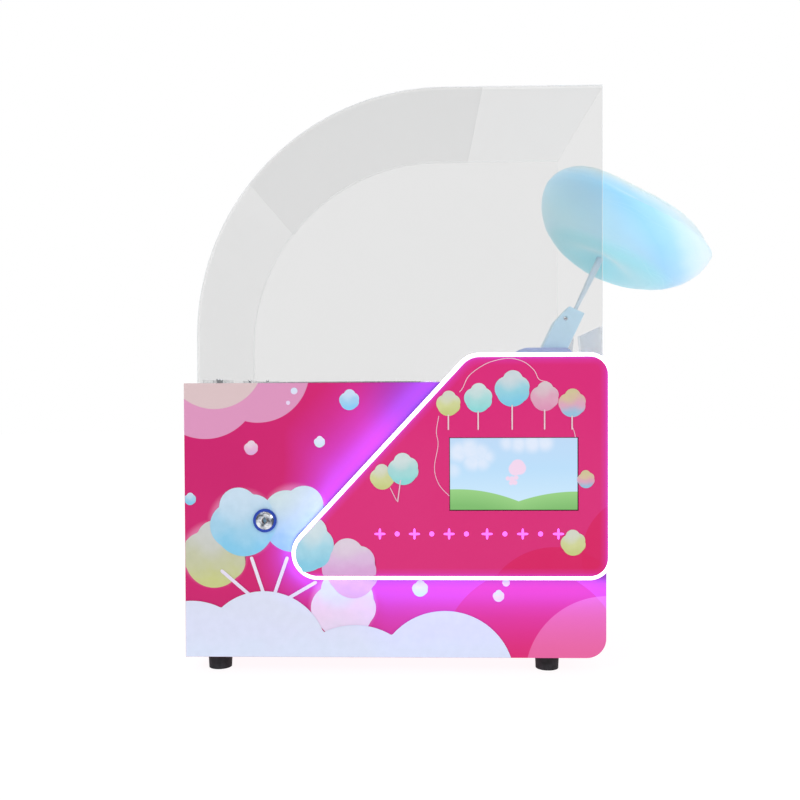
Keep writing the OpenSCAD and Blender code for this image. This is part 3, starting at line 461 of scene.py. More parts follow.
# The display's picture: circles in millimetres and hills in metres, about the screen's middle
CLOUD_DISCS = ((-66, 26, 11), (-53, 29, 12), (-41, 25, 11), (-31, 21, 7), (-50, 15, 10), (-38, 14, 8),
               (-73, 4, 7), (-8, 37, 7), (6, 36, 9), (22, 37, 10), (38, 38, 9))
PUFF_DISCS = ((5, 9, 8.6), (2, 6, 8), (7, 7, 8), (-7, -5.5, 2.6), (-2, -6.5, 3.6), (3, -4.5, 2.8),
              (-3, -11, 2.6), (1.5, -10.5, 3))
HILLS = ((-0.068, -0.0185, 2.7), (0.076, -0.0215, 2.4))     # top's place and how fast the hill falls


def picture():
    """The display's lit picture: sky, clouds, a pink puff and two green hills."""
    made = Shader("display_picture", roughness=0.08, coat_weight=0.4, coat_roughness=0.03)
    x, z = made.place()
    across = made.sum("SUBTRACT", x, screen.x - case_x)
    up = made.sum("SUBTRACT", z, screen.z)
    height = made.span(up, -0.04, 0.045)
    sky = made.ramp(height, (0.0, rgb("cdeafd")), (0.55, rgb("b9defb")), (1.0, rgb("bddaf8")))
    middle = ((screen.x - case_x) / MM, screen.z / MM)
    wisp = made.span(made.noise(40, detail=3), 0.3, 0.6, 0.55, 0.95)
    clouds = made.bunch(x, z, CLOUD_DISCS, soft=6, middle=middle)
    sky = made.blend(made.sum("MULTIPLY", clouds, wisp), sky, rgb("e2ecfd"))
    puff = made.bunch(x, z, PUFF_DISCS, soft=0.9, middle=middle)
    sky = made.blend(puff, sky, rgb("f4d6ee"))
    hills = None
    for top_x, top_z, drop in HILLS:
        off = made.sum("SUBTRACT", across, top_x)
        hill = made.sum("SUBTRACT", top_z, made.sum("MULTIPLY", made.sum("MULTIPLY", off, off), drop))
        hills = hill if hills is None else made.sum("MAXIMUM", hills, hill)
    below = made.sum("SUBTRACT", hills, up)
    grass = made.ramp(made.span(below, 0.0, 0.02), (0.0, rgb("93cf7a")), (1.0, rgb("74b95f")))
    art = made.blend(made.span(below, -0.0003, 0.0004), sky, grass)
    made.colour(rgb("101216"))
    made.glow(art, 0.95)
    made.bump(made.noise(300), 0.01, 0.0001)
    return made.mat


PUFF_SHINE = (0.42, 0.5, 0.72)  # middle of a puff's pale spot, as shares of its box
PUFF_GLOW = 0.45                # share of the rim's light that a pale print on the door takes up


def puff_print(name, top, middle, low, on_door=False, extra=None, dull=0.88):
    """Printed candy puff: pale at the top, tinted below, with soft clouding."""
    made = Shader(name, roughness=0.35, specular_ior_level=0.25)
    parts = made.node("ShaderNodeSeparateXYZ")
    made.put(made.coords.outputs["Generated"], parts.inputs[0])
    wave = made.sum("MULTIPLY", made.sum("SUBTRACT", made.noise(45, detail=4), 0.5), 0.45)
    height = made.sum("ADD", parts.outputs["Z"], wave, clamp=True)
    stops = [(0.05, rgb(low)), (0.45, rgb(middle)), (0.9, rgb(top))]
    if extra:
        stops.insert(2, (0.66, rgb(extra)))
    art = made.ramp(height, *stops, ease="EASE")
    shine = made.node("ShaderNodeVectorMath", operation="DISTANCE")
    made.put(made.coords.outputs["Generated"], shine.inputs[0])
    shine.inputs[1].default_value = PUFF_SHINE
    lit = made.span(shine.outputs["Value"], 0.50, 0.62, 0.6, 0.0, smooth=True)
    art = made.blend(lit, art, rgb(top))
    fleck = made.span(made.noise(90, detail=2), 0.3, 0.7, dull - 0.02, dull + 0.02)
    art = made.blend(1.0, art, fleck, "MULTIPLY")
    if on_door:
        panel_light(made, art, PUFF_GLOW)
    else:
        made.colour(art)
    return made.mat


def glowing_print(name, code, strength):
    """Print or strip that gives light of its own colour, slightly unevenly."""
    made = Shader(name, roughness=0.3)
    made.colour(rgb(code))
    made.glow(rgb(code), made.span(made.noise(120), 0.3, 0.7, strength * 0.9, strength * 1.1))
    return made.mat


def spun_metal():
    """Spun aluminium: rings left by the tool, about the bowl's axis."""
    made = Shader("spun_aluminium", metallic=1.0)
    low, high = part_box("bowl")
    moved = made.node("ShaderNodeVectorMath", operation="SUBTRACT")
    moved.inputs[1].default_value = ((low.x + high.x) / 2, (low.y + high.y) / 2, 0)
    made.put(made.coords.outputs["Object"], moved.inputs[0])
    rings = made.node("ShaderNodeTexWave", wave_type="RINGS", rings_direction="Z")
    rings.inputs["Scale"].default_value = 90
    rings.inputs["Distortion"].default_value = 1.5
    made.put(moved.outputs[0], rings.inputs["Vector"])
    made.colour(made.blend(made.span(made.noise(18), 0.3, 0.7, 0, 0.3), rgb("e6e8eb"), rgb("d3d6da")))
    made.rough(made.span(rings.outputs["Fac"], 0, 1, 0.24, 0.36))
    made.bump(rings.outputs["Fac"], 0.06, 0.0002)
    return made.mat


# The floss's colours from its lower left to its upper right: its own blue, paler to the upper right as a
# painted highlight
FLOSS_TONES = ((0.14, rgb("c4ecf6")), (0.32, rgb("b2def4")), (0.43, rgb("9fd8f8")), (0.52, rgb("aadcf8")),
               (0.60, rgb("c6e7f7")), (0.70, rgb("d8ecf6")), (1.0, rgb("d6e8ea")))


def floss_material(name, strand=False):
    """Spun sugar: blue in the middle and turquoise underneath, with painted light: pale at its upper right
    and on top, and a faint painted glow.
    """
    made = Shader(name, roughness=0.75, subsurface_weight=0.3, subsurface_scale=0.02, sheen_weight=0.6,
                  sheen_roughness=0.4, specular_ior_level=0.15)
    made.bsdf.inputs["Subsurface Radius"].default_value = (0.7, 0.9, 1.0)
    low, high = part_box("cotton_candy")
    middle = (low + high) / 2
    wave = made.sum("MULTIPLY", made.sum("SUBTRACT", made.noise(11, detail=4), 0.5), 0.5)
    reach = []
    for way, scale in ((ALONG, 0.073), (ALONG + ACROSS * 0.45, 0.110)):
        dot = made.node("ShaderNodeVectorMath", operation="DOT_PRODUCT")
        dot.inputs[1].default_value = way / scale
        made.put(made.coords.outputs["Object"], dot.inputs[0])
        reach.append(made.sum("SUBTRACT", dot.outputs["Value"], middle.dot(way) / scale))
    rise, side = reach
    tone = made.span(made.sum("ADD", side, made.sum("MULTIPLY", wave, 0.5)), -1.0, 1.0)
    art = made.ramp(tone, *FLOSS_TONES)
    # painted light: the top is lit paler
    crest = made.span(made.sum("ADD", rise, made.sum("MULTIPLY", wave, 0.2)), 0.15, 0.62, smooth=True)
    art = made.blend(made.sum("MULTIPLY", crest, 0.9), art, rgb("cadee0"))
    under = made.span(made.sum("ADD", rise, made.sum("MULTIPLY", wave, 0.15)), -0.58, -0.78, smooth=True)
    under = made.sum("MULTIPLY", under, made.span(side, 0.1, -0.35, 0.12, 0.75, smooth=True))
    art = made.blend(under, art, rgb("a0e6ee"))
    made.colour(art if not strand else made.blend(0.25, art, rgb("f2fafc")))
    # a faint painted glow in the floss's own colours
    made.glow(art, 0.16)
    fibres = made.noise(160, detail=6, stretch=(1, 1, 5), rough=0.75)
    made.bump(made.sum("ADD", fibres, made.noise(40, detail=4)), 0.15, 0.0015)
    return made.mat


def circuit():
    """Green board with pale copper tracks and pads."""
    made = Shader("circuit_green", roughness=0.35, coat_weight=0.3)
    tracks = made.node("ShaderNodeTexVoronoi", feature="DISTANCE_TO_EDGE")
    tracks.inputs["Scale"].default_value = 160
    made.put(made.coords.outputs["Object"], tracks.inputs["Vector"])
    line = made.span(tracks.outputs["Distance"], 0.02, 0.05, 1, 0)
    made.colour(made.blend(line, rgb("1d6a44"), rgb("3f9a63")))
    made.bump(line, 0.2, 0.0002)
    return made.mat


def paint_nodes():
    """Gives every CAD node that is kept its material."""
    pink = painted("case_pink_paint", CASE_PINK)
    white = painted("deck_white_paint", "ecebf0", rough=0.32)
    zinc = metal("zinc_plate", "cfd2d6", stretch=(1, 1, 1), scale=200, rough=0.34)
    steel = metal("brushed_steel", "c4c7cc", stretch=(40, 1, 1))
    chrome = metal("chrome_plate", "d9dce2", rough=0.18, scale=80, stretch=(1, 1, 1), bump=0.02)
    black = plastic("moulded_black", "1b1c20")
    enamel = painted("motor_enamel", "303237", rough=0.5, grain=600, bump=0.2)
    brass = metal("brass_turned", "cfa64e", stretch=(1, 40, 1), rough=0.25)
    acrylic = clear("hood_acrylic", "fefefe", "f2f2f2", haze=0.01, gloss=0.10)
    # the arm's blue paint has a faint painted glow (lift) to brighten it
    arm = painted("arm_blue_paint", "cceafa", rough=0.3, grain=1200, bump=0.08, worn=0.02, lift=0.12)
    yoke = painted("yoke_lilac_paint", "bfcffa", rough=0.3, grain=1200, bump=0.08)
    given = {
        pink: ("base_pan", "left_panel", "rear_panel"),
        door_print(): ("door_skin",),
        plate_print(): ("light_plate",),
        white: ("deck_plate",),
        zinc: ("case_screws", "panel_spacers", "lock_cam", "motor_bracket", "hinge_pins"),
        steel: ("body_hinge_leaves", "door_hinge_leaves", "spinner_shaft", "arm_shaft", "auger", "chuck",
                "feed_pipe", "head_base", "head_band", "head_cap", "power_supply"),
        chrome: ("fan_guard", "arm_screw"),
        metal("ring_blue_anodised", "3a52b4", rough=0.3, stretch=(1, 40, 1)): ("lock_ring",),
        chrome_with_painted_reflection(): ("lock_body", "lock_plug"),
        rubber(): ("feet",),
        opal(): ("opal_diffuser",),
        glowing_print("light_strip_glow", "e9dcff", 1.6): ("led_strip",),
        black: ("display_module", "fan_frame", "fan_rotor", "power_inlet"),
        picture(): ("display_glass",),
        # The hood's sheets are one clear acrylic: their tints differ from sheet to sheet as painted shade.
        acrylic: ("hood_side_sheet", "hood_top_sheet"),
        clear("hood_acrylic_bent", "fafafa", "eeeeee", haze=0.02, gloss=0.10): ("hood_arch_sheet",),
        clear("hood_acrylic_near", "f3f3f3", "f0f0f0", haze=0.02, edge=True): ("hood_near_sheet",),
        clear("hood_acrylic_far", "fefefe", "f4f4f4", haze=0.005, edge=True): ("hood_far_sheet",),
        clear("sill_acrylic", "f8fafc", "e2eaf4", haze=0.05): ("hood_sill",),
        clear("tab_acrylic", "fafafa", "f2f4f6", haze=0.12, gloss=0.2): ("hood_tabs",),
        spun_metal(): ("bowl",),
        enamel: ("spinner_motor", "dosing_motor", "arm_gearmotor", "stick_motor"),
        brass: ("slip_rings", "dosing_pinion", "arm_pinion"),
        metal("heater_oxide", "7d5240", rough=0.5, stretch=(1, 1, 1), scale=160): ("heating_element",),
        plastic("hopper_plastic_white", "e4e8ee", rough=0.35, light="f2f5f9"): ("sugar_hopper",),
        plastic("lid_plastic_blue", "bcd6ee", rough=0.25, light="d3e6f7"): ("sugar_lid",),
        arm: ("arm_housing", "arm_cover"),
        yoke: ("arm_yoke",),
        plastic("stick_plastic", "d9e6f2", rough=0.35, light="eef5fb"): ("stick",),
        circuit(): ("control_board",),
        plastic("rocker_red", "c8242a", rough=0.3): ("power_rocker",),
    }
    for material, names in given.items():
        for name in names:
            mesh = NODES[name].data
            mesh.materials.clear()
            mesh.materials.append(material)


# ---- printed pieces ----------------------------------------------------------------

# Print lies on a face as thin films, in millimetres
FILM_GAP = 0.03                 # between the face and the first film
LAYER = 0.14                    # from one layer of films to the next
FILM = 0.11                     # thickness of a film

# Outlines as bunches of circles: places and radii as shares of the shape's size
ROUND = ((0, 0, 1),)
PUFF = ((0.0, -0.12, 0.90), (-0.30, 0.02, 0.70), (0.05, 0.50, 0.58), (0.42, 0.14, 0.58), (0.40, -0.20, 0.58))


def ray_out(circle, dx, dz):
    """How far a ray from the middle runs before it leaves a circle, or 0."""
    cx, cz, radius = circle
    along = cx * dx + cz * dz
    inside = radius * radius - cx * cx - cz * cz + along * along
    return max(0.0, along + math.sqrt(inside)) if inside > 0 else 0.0


def lobed(centre, size, circles, turn=0.0, keep=None, count=96):
    """
    Outline of a bunch of circles as seen from its middle. With keep, the outline is drawn in to
    where keep(x, z) is not positive.
    """
    points = []
    for i in range(count):
        angle = 2 * math.pi * i / count
        dx, dz = math.cos(angle), math.sin(angle)
        ux = dx * math.cos(turn) + dz * math.sin(turn)
        uz = dz * math.cos(turn) - dx * math.sin(turn)
        reach = size * max(ray_out(c, ux, uz) for c in circles)
        if keep and keep(centre[0] + reach * dx, centre[1] + reach * dz) > 0:
            low, high = 0.0, reach
            for _ in range(24):
                mid = (low + high) / 2
                if keep(centre[0] + mid * dx, centre[1] + mid * dz) > 0:
                    high = mid
                else:
                    low = mid
            reach = low
        points.append((centre[0] + reach * dx, centre[1] + reach * dz))
    return points


def dot(centre, radius):
    """Outline of a small round spot."""
    return lobed(centre, radius, ROUND, count=32)


def new_piece(name, made, material, body, smooth=False):
    """Turns a finished bmesh into a named piece that rides on a body."""
    bmesh.ops.recalc_face_normals(made, faces=made.faces)
    mesh = bpy.data.meshes.new(name)
    made.to_mesh(mesh)
    made.free()
    if smooth:
        mesh.shade_smooth()
    mesh.materials.append(material)
    piece = bpy.data.objects.new(name, mesh)
    bpy.context.scene.collection.objects.link(piece)
    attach(piece, body)
    return piece


def film(name, outlines, face, layer, material, ladder=False):
    """
    A thin closed piece of print on a face, made from one or more outlines in millimetres.
    A ladder outline runs out along one side and back along the other, point for point.
    """
    made = bmesh.new()
    back = face - (FILM_GAP + LAYER * layer) * MM
    for points in outlines:
        rear, near = ([made.verts.new((case_x + x * MM, y, z * MM)) for x, z in points]
                      for y in (back, back - FILM * MM))
        last = len(points) - 1
        for row in (rear, near):
            if ladder:
                for i in range(last // 2):
                    made.faces.new((row[i], row[i + 1], row[last - i - 1], row[last - i]))
            else:
                made.faces.new(row)
        for i in range(last + 1):
            j = (i + 1) % (last + 1)
            made.faces.new((rear[j], rear[i], near[i], near[j]))
    bmesh.ops.triangulate(made, faces=[f for f in made.faces if len(f.verts) > 4])
    return new_piece(name, made, material, "door")


def bar(start, end, width, steps=6):
    """Outline of a straight stick with round ends."""
    sx, sz = start
    ex, ez = end
    angle = math.atan2(ez - sz, ex - sx)
    points = []
    for (cx, cz), facing in (((ex, ez), angle), ((sx, sz), angle + math.pi)):
        for i in range(steps + 1):
            a = facing - math.pi / 2 + math.pi * i / steps
            points.append((cx + width / 2 * math.cos(a), cz + width / 2 * math.sin(a)))
    return points


def star(centre, size, tips, waist):
    """Outline of a small star with soft tips."""
    points = []
    for i in range(tips * 8):
        angle = math.pi * i / (tips * 4) + math.pi / 2
        share = abs(math.cos(tips * (angle - math.pi / 2) / 2))
        reach = size * (waist + (1 - waist) * share ** 3)
        points.append((centre[0] + reach * math.cos(angle), centre[1] + reach * math.sin(angle)))
    return points


def ribbon(points, width, steps=10):
    """Outline of a thin line that runs smoothly through the points."""
    line = []
    last = len(points) - 1
    for i in range(last):
        a, b, c, d = points[max(i - 1, 0)], points[i], points[i + 1], points[min(i + 2, last)]
        for k in range(steps + (i == last - 1)):
            t = k / steps
            line.append(tuple(
                0.5 * (2 * b[j] + (c[j] - a[j]) * t + (2 * a[j] - 5 * b[j] + 4 * c[j] - d[j]) * t * t
                       + (3 * b[j] - a[j] - 3 * c[j] + d[j]) * t ** 3) for j in (0, 1)))
    left, right = [], []
    for i, (x, z) in enumerate(line):
        ax, az = line[max(i - 1, 0)]
        bx, bz = line[min(i + 1, len(line) - 1)]
        size = math.hypot(bx - ax, bz - az)
        nx, nz = -(bz - az) / size * width / 2, (bx - ax) / size * width / 2
        left.append((x + nx, z + nz))
        right.append((x - nx, z - nz))
    return left + right[::-1]


def skyline(circles, x0, x1, foot, count=180):
    """Outline of a row of cloud tops over a straight foot, as a ladder."""
    tops = []
    for i in range(count + 1):
        x = x0 + (x1 - x0) * i / count
        heights = [cz + math.sqrt(r * r - (x - cx) ** 2) for cx, cz, r in circles if abs(x - cx) < r]
        tops.append((x, max([foot + 0.05] + heights)))
    return tops + [(x, foot) for x, _ in reversed(tops)]


def door_side(x, z):
    """Positive past the left, top or bottom limit of the door's print."""
    return max(PRINT_LEFT - x, z - PRINT_TOP, PRINT_BOTTOM - z)


def plate_side(x, z):
    """Positive outside the light plate's outline, or less than 0.3 mm inside it."""
    return panel_gap(x, z) + 0.3


STICK_WIDTH = 4.2
CLOUDS_END = 143                # the row of clouds runs this far to the right


def print_door():
    """The films on the door: drops, five big puffs with their sticks, and a row of clouds."""
    mint = puff_print("print_mint_door", "d2e8fa", "aadaf4", "8cd4f6", on_door=True)
    sky = puff_print("print_sky_door", "d8ebf0", "bcdcf2", "9ccdfa", on_door=True)
    lemon = puff_print("print_lemon_door", "d6d8d6", "ced0b0", "d2d690", on_door=True)
    rose = puff_print("print_rose_door", "f3dcea", "efbfdf", "e6b4e4", on_door=True)
    lilac = puff_print("print_lilac_door", "dce8fa", "f2d9f6", "ecdcf8", on_door=True, dull=0.93)
    cloud = puff_print("print_cloud_door", "dde2f6", "dee3fa", "dee7fd", on_door=True, dull=0.97)
    stick = puff_print("print_stick_door", "f0e8f8", "ece4f8", "e8def6", on_door=True, dull=0.93)
    white = puff_print("print_white_door", "eceafa", "dcebf6", "d2f0ea", on_door=True, dull=0.93)
    small = (
        ("drop_blue_high", (-55, 338.6), 12.3, mint), ("drop_pink", (-177, 279.7), 8.6, rose),
        ("drop_white", (-92, 287), 6.8, white), ("drop_blue_left", (-253.4, 216.5), 7.4, mint),
        ("drop_white_low", (31.4, 105.5), 9.8, white), ("drop_white_right", (128, 96.5), 7.0, lilac),
        ("drop_violet_right", (137.3, 113), 4.6, lilac),
    )
    for name, centre, size, material in small:
        film(name, [lobed(centre, size, PUFF, keep=door_side)], door_face, 0, material)
    film("drop_dots", [dot((-123, 350), 4.2), dot((-130.5, 335.5), 2.6)], door_face, 0, lilac)
    big = (
        ("puff_lemon", (-224, 147), 40, 0.0, lemon, 0), ("puff_lilac", (-64, 84), 40, 0.3, lilac, 1),
        ("puff_sky", (-123, 192), 41, -0.5, sky, 1), ("puff_mint", (-188, 187), 41, 0.35, mint, 2),
        ("puff_rose", (-52, 125), 31, 0.2, rose, 3),
    )
    for name, centre, size, turn, material, layer in big:
        outline = lobed(centre, size, PUFF, turn, keep=door_side)
        film(name, [outline], door_face, layer, material)
    sticks = (
        ((-214, 127), (-178, 96)), ((-177, 143), (-162, 98)),
        ((-133, 143), (-149, 98)), ((-98, 113), (-134, 92)),
    )
    film("print_sticks", [bar(a, b, STICK_WIDTH) for a, b in sticks], door_face, 4, stick)
    tops = ((-252, 9, 81), (-162, 23.5, 78.6), (-49, -28, 88.3), (62, -8, 86))
    clouds = skyline(tops, PRINT_LEFT, CLOUDS_END, PRINT_BOTTOM)
    film("print_clouds", [clouds], door_face, 5, cloud, ladder=True)


ROW_FOOT = 303                  # height at which the sticks of the plate's row of puffs end
MARKS_AT = 176                  # height of the glowing stars and dots


def print_plate():
    """The films on the light plate: puffs and their sticks, a fine outline, and glowing marks."""
    mint = puff_print("print_mint", "dceaea", "aee4e4", "94e2e2")
    blue = puff_print("print_blue", "d6e2e8", "9fdcec", "84d4f0")
    lemon = puff_print("print_lemon", "dfe2d2", "dbe0a0", "d3d98c")
    rose = puff_print("print_rose", "e3cfd6", "e9aec8", "e79cc0")
    mixed = puff_print("print_rainbow", "dccfa2", "e7b0c8", "9fcbe8", extra="e6c0b4")
    pale = puff_print("print_pale_rose", "e8d8e8", "e8c4ea", "e6b0e4")
    thin = puff_print("print_fine_line", "f6d6e2", "f6cfe0", "f4c8dc")
    row = (
        ("plate_puff_lemon", 66.5, 334, 14.6, lemon), ("plate_puff_mint", 102.5, 340.5, 17, mint),
        ("plate_puff_blue", 143.5, 351.5, 21, blue), ("plate_puff_rose", 182.5, 342, 17, rose),
        ("plate_puff_rainbow", 215.5, 334, 16.4, mixed),
    )
    for name, x, z, size, material in row:
        film(name, [lobed((x, z), size, PUFF)], plate_face, 1, material)
    others = (
        ("plate_twin_lemon", (-14, 245), 14.8, lemon, 1), ("plate_twin_mint", (11.4, 254.5), 18.6, mint, 3),
        ("plate_side_rainbow", (232, 242), 10.4, mixed, 1), ("plate_low_lemon", (216.6, 165), 15, lemon, 1),
    )
    for name, centre, size, material, layer in others:
        film(name, [lobed(centre, size, PUFF, 0.15)], plate_face, layer, material)
    film("plate_edge_rose", [lobed((-55, 135), 33, PUFF, 0.2, keep=plate_side)], plate_face, 1, pale)
    edge = puff_print("print_edge_blue", "dcecf2", "ace0f2", "8ed6f0")
    film("plate_edge_blue", [lobed((-107, 163), 33, PUFF, -0.3, keep=plate_side)], plate_face, 2, edge)
    bars = [bar((x, z - size * 0.95), (x, ROW_FOOT), 1.7) for _, x, z, size, _ in row]
    bars += [bar((-4.2, 232), (3.5, 216.5), 1.0), bar((8.3, 241), (4.8, 215.5), 1.4)]
    film("plate_sticks", bars, plate_face, 4, thin)
    left = ((67.5, 222), (55, 236), (49.5, 256), (54, 284), (52, 300), (55, 319))
    arch = (
        (80, 348), (84, 353), (92, 368), (110, 381), (126, 386.5),
        (142, 388.4), (158, 384), (170, 374), (176, 363), (186, 360),
    )
    right = ((215.5, 306), (218, 300), (219.5, 293))
    film("plate_outline", [ribbon(p, 0.8) for p in (left, arch, right)], plate_face, 0, thin, ladder=True)
    spots = [-17 + 21 * i for i in range(6)] + [113 + 21.5 * i for i in range(5)]
    marks = []
    for i, x in enumerate(spots):
        if i % 2 == 1:
            marks.append(dot((x, MARKS_AT), 3.0))
        else:
            marks.append(star((x, MARKS_AT), 7.0, tips=4, waist=0.3))
    film("plate_stars", marks, plate_face, 0, glowing_print("print_star_glow", "ee66ff", 0.75))


# ---- floss -------------------------------------------------------------------------

STICK_FROM = 73                 # distances along the stick from the arm's pivot, in millimetres
STICK_TO = 255
FLOSS_AT = 223.5                # the floss's middle, along the stick
FLOSS_OFF = 11                  # and this far to one side of it
FLOSS_R = 130
FLOSS_HALF = 73                 # half its height
WAIST = 15                      # its widest ring lies this far above its middle
SAG = 20                        # its top sinks this much towards the side it leans to
SAG_REACH = 140                 # the sag grows over this distance, up to the floss's middle
FOOT_HOLLOW = ((0, -12), 34, 27)    # in the floss's foot, round the stick: place, width and depth
FOOT_SWELL = ((0, 62), 34, 4)       # a low swelling of the foot behind it
BODIES = frame["record"]["behaviour"]["bodies"]
FLOSS_BODY = next(body for body, names in BODIES.items() if "cotton_candy" in names)


def stick_frame():
    """Matrix from the stick's own axes, Z along it from the arm's pivot, to the row frame."""
    low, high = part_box("stick")
    middle = (STICK_FROM + STICK_TO) / 2 * MM
    turned = Matrix((ACROSS, Vector((0, 1, 0)), ALONG)).transposed().to_4x4()
    return Matrix.Translation((low + high) / 2 - ALONG * middle) @ turned


def hollow(x, y, at, wide, deep):
    """A smooth round hollow that is deep at one point and fades out around it."""
    return deep * math.exp(-((x - at[0]) ** 2 + (y - at[1]) ** 2) / (2 * wide * wide))


def floss_point(angle, turn, lift=1.0):
    """Point on the floss: angle from its foot to its top, turn about the stick."""
    out = math.cos(angle)
    x = FLOSS_R * out * math.cos(turn)
    y = FLOSS_R * out * math.sin(turn)
    if angle > 0:
        z = WAIST + (FLOSS_HALF - WAIST) * max(0.0, 1 - out ** 3) ** 0.5
        sag = min(1.0, max(0.0, x / SAG_REACH + 1))
        z -= SAG * sag * sag * (3 - 2 * sag) * min(1.0, 3 * math.sin(angle))
    else:
        z = WAIST + (FLOSS_HALF + WAIST) * math.sin(angle)
        z += hollow(x + FLOSS_OFF, y, *FOOT_HOLLOW) - hollow(x + FLOSS_OFF, y, *FOOT_SWELL)
    swell = noise.noise(Vector((x, y, z)) / 70 + Vector((3, 1, 7)))
    lumps = noise.noise(Vector((x, y, z)) / 26)
    drift = noise.noise(Vector((x / 14, y / 14, z / 5)))
    shrink = lift * (1 - 0.011 * (1 + swell) - 0.005 * (1 + lumps) - 0.002 * (1 + drift))
    return Vector((FLOSS_OFF + x * shrink, y * shrink, FLOSS_AT + z * shrink)) * MM


def make_floss(rings=80, parts=160):
    """The body of the floss, in rings from its foot to its top."""
    place = stick_frame()
    made = bmesh.new()
    rows = []
    for i in range(1, rings):
        angle = -math.pi / 2 + math.pi * i / rings
        ring = [place @ floss_point(angle, 2 * math.pi * j / parts) for j in range(parts)]
        rows.append([made.verts.new(point) for point in ring])
    foot = made.verts.new(place @ floss_point(-math.pi / 2, 0))
    top = made.verts.new(place @ floss_point(math.pi / 2, 0))
    for j in range(parts):
        k = (j + 1) % parts
        made.faces.new((foot, rows[0][k], rows[0][j]))
        made.faces.new((top, rows[-1][j], rows[-1][k]))
        for low, high in zip(rows, rows[1:]):
            made.faces.new((low[j], low[k], high[k], high[j]))
    piece = new_piece("floss", made, floss_material("floss_sugar"), FLOSS_BODY, smooth=True)
    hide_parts("cotton_candy")


def make_strands(count=170):
    """Loose strands wound round the floss."""
    rng = random.Random(7)
    place = stick_frame()
    made = bmesh.new()
    steps = 26
    for _ in range(count):
        angle = math.asin(rng.uniform(-0.95, 0.98))
        turn = rng.uniform(0, 2 * math.pi)
        length = rng.uniform(0.5, 1.6)
        climb = rng.uniform(-0.25, 0.25)
        lift = rng.uniform(0.9995, 1.004)
        thick = rng.uniform(0.10, 0.20) * MM
        spine = []
        for i in range(steps + 1):
            t = i / steps
            tilt = max(-1.5, min(1.5, angle + climb * t + 0.03 * math.sin(9 * t + turn)))
            spine.append(place @ floss_point(tilt, turn + length * t, lift))
        rows = []
        for i, p in enumerate(spine):
            ahead = (spine[min(i + 1, steps)] - spine[max(i - 1, 0)]).normalized()
            side = ahead.cross(Vector((0.3, 0.5, 0.8))).normalized()
            over = ahead.cross(side)
            radius = thick * math.sin(math.pi * (i + 0.5) / (steps + 1)) ** 0.5
            rows.append([made.verts.new(p + (side * math.cos(q) + over * math.sin(q)) * radius)
                         for q in (0, math.pi / 2, math.pi, 3 * math.pi / 2)])
        for low, high in zip(rows, rows[1:]):
            for j in range(4):
                k = (j + 1) % 4
                made.faces.new((low[j], low[k], high[k], high[j]))
        made.faces.new(rows[0][::-1])
        made.faces.new(rows[-1])
    new_piece("floss_strands", made, floss_material("floss_strand_sugar", strand=True), FLOSS_BODY)


# ---- stage -------------------------------------------------------------------------


def make_camera():
    """A camera in front of the machine at the height of its panel, turned and tilted very slightly."""
    cam = bpy.data.objects.new("camera", bpy.data.cameras.new("camera"))
    bpy.context.scene.collection.objects.link(cam)
    yaw, pitch, roll = math.radians(-1.502), math.radians(-0.979), math.radians(-0.241)
    ahead = Vector((math.sin(yaw) * math.cos(pitch), math.cos(yaw) * math.cos(pitch), math.sin(pitch)))
    right = Vector((math.cos(yaw), -math.sin(yaw), 0))
    up = right.cross(ahead)
    rolled_right = right * math.cos(roll) + up * math.sin(roll)
    rolled_up = up * math.cos(roll) - right * math.sin(roll)
    cam.matrix_world = Matrix((rolled_right, rolled_up, -ahead)).transposed().to_4x4()
    cam.location = (0.05256, -1.3018, 0.3572)
    cam.data.sensor_width = 36
    cam.data.lens = 40.32
    bpy.context.scene.camera = cam


def area_light(name, place, aim, size, power):
    """A rectangular lamp at a place, turned towards a point."""
    data = bpy.data.lights.new(name, "AREA")
    data.shape = "RECTANGLE"
    data.size, data.size_y = size
    data.energy = power
    lamp = bpy.data.objects.new(name, data)
    bpy.context.scene.collection.objects.link(lamp)
    lamp.location = place
    lamp.rotation_euler = (Vector(aim) - Vector(place)).to_track_quat("-Z", "Y").to_euler()


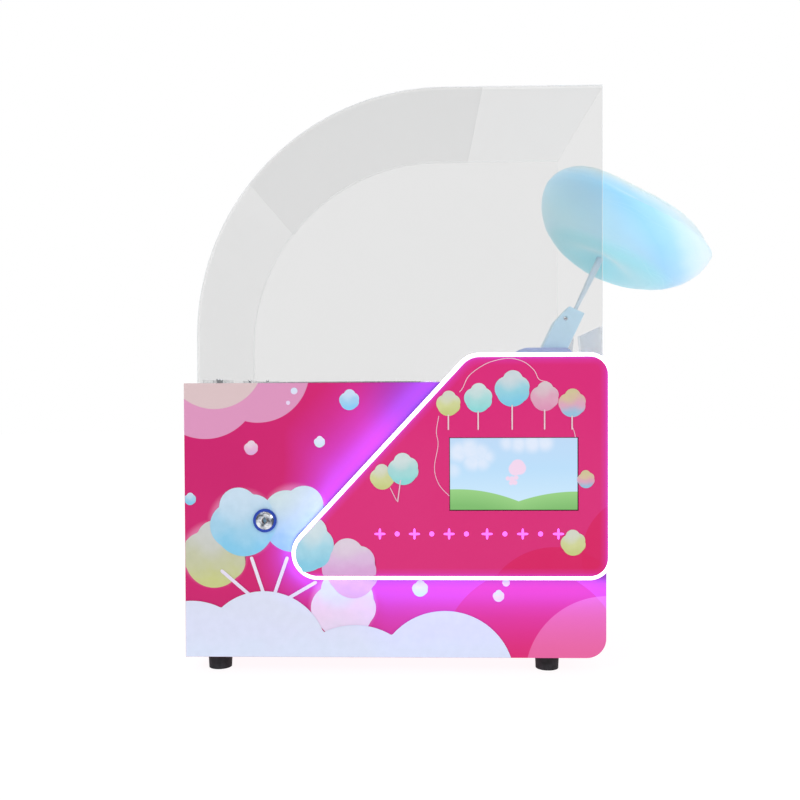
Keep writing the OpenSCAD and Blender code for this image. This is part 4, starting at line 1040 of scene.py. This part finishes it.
def make_floor():
    """A round white floor that gives light of its own, so that it stays white."""
    made = bmesh.new()
    bmesh.ops.create_circle(made, cap_ends=True, segments=96, radius=6)
    mesh = bpy.data.meshes.new("floor")
    made.to_mesh(mesh)
    made.free()
    floor = bpy.data.objects.new("floor", mesh)
    bpy.context.scene.collection.objects.link(floor)
    shade = Shader("floor_white", roughness=0.8)
    shade.colour(shade.ramp(shade.noise(2), (0.3, rgb("5c5c5c")), (0.7, rgb("606060"))))
    far = shade.node("ShaderNodeVectorMath", operation="LENGTH")
    shade.put(shade.coords.outputs["Object"], far.inputs[0])
    shade.glow(rgb("ffffff"), shade.span(far.outputs["Value"], 0.6, 3.0, 0.92, 1.0, smooth=True))
    mesh.materials.append(shade.mat)


def make_world():
    """Plain white to the camera; to the object a room that is darker on the camera's side."""
    world = bpy.data.worlds.new("studio")
    bpy.context.scene.world = world
    world.use_nodes = True
    tree = world.node_tree
    back = tree.nodes["Background"]
    back.inputs["Color"].default_value = (1, 1, 1, 1)
    seen = tree.nodes.new("ShaderNodeLightPath")
    way = tree.nodes.new("ShaderNodeTexCoord")
    parts = tree.nodes.new("ShaderNodeSeparateXYZ")
    tree.links.new(way.outputs["Generated"], parts.inputs[0])
    room = tree.nodes.new("ShaderNodeMapRange")
    for socket, value in zip(("From Min", "From Max", "To Min", "To Max"), (-0.9, 0.9, 0.30, 0.62)):
        room.inputs[socket].default_value = value
    tree.links.new(parts.outputs["Y"], room.inputs["Value"])
    level = tree.nodes.new("ShaderNodeMapRange")
    level.inputs["To Max"].default_value = 1.0
    tree.links.new(seen.outputs["Is Camera Ray"], level.inputs["Value"])
    tree.links.new(room.outputs[0], level.inputs["To Min"])
    tree.links.new(level.outputs[0], back.inputs["Strength"])


def make_stage():
    """Floor, room and three soft lamps."""
    make_floor()
    make_world()
    area_light("key", (-1.3, -1.9, 1.7), (0, 0, 0.35), (1.2, 1.0), 24)
    area_light("fill", (1.7, -1.5, 1.1), (0, 0, 0.35), (1.0, 1.0), 10)
    area_light("top", (0, 0.5, 2.2), (0, 0, 0.2), (1.4, 1.4), 14)
    bpy.context.scene.view_settings.view_transform = "Standard"


make_camera()
make_stage()
paint_nodes()
print_door()
print_plate()
make_floss()
make_strands()
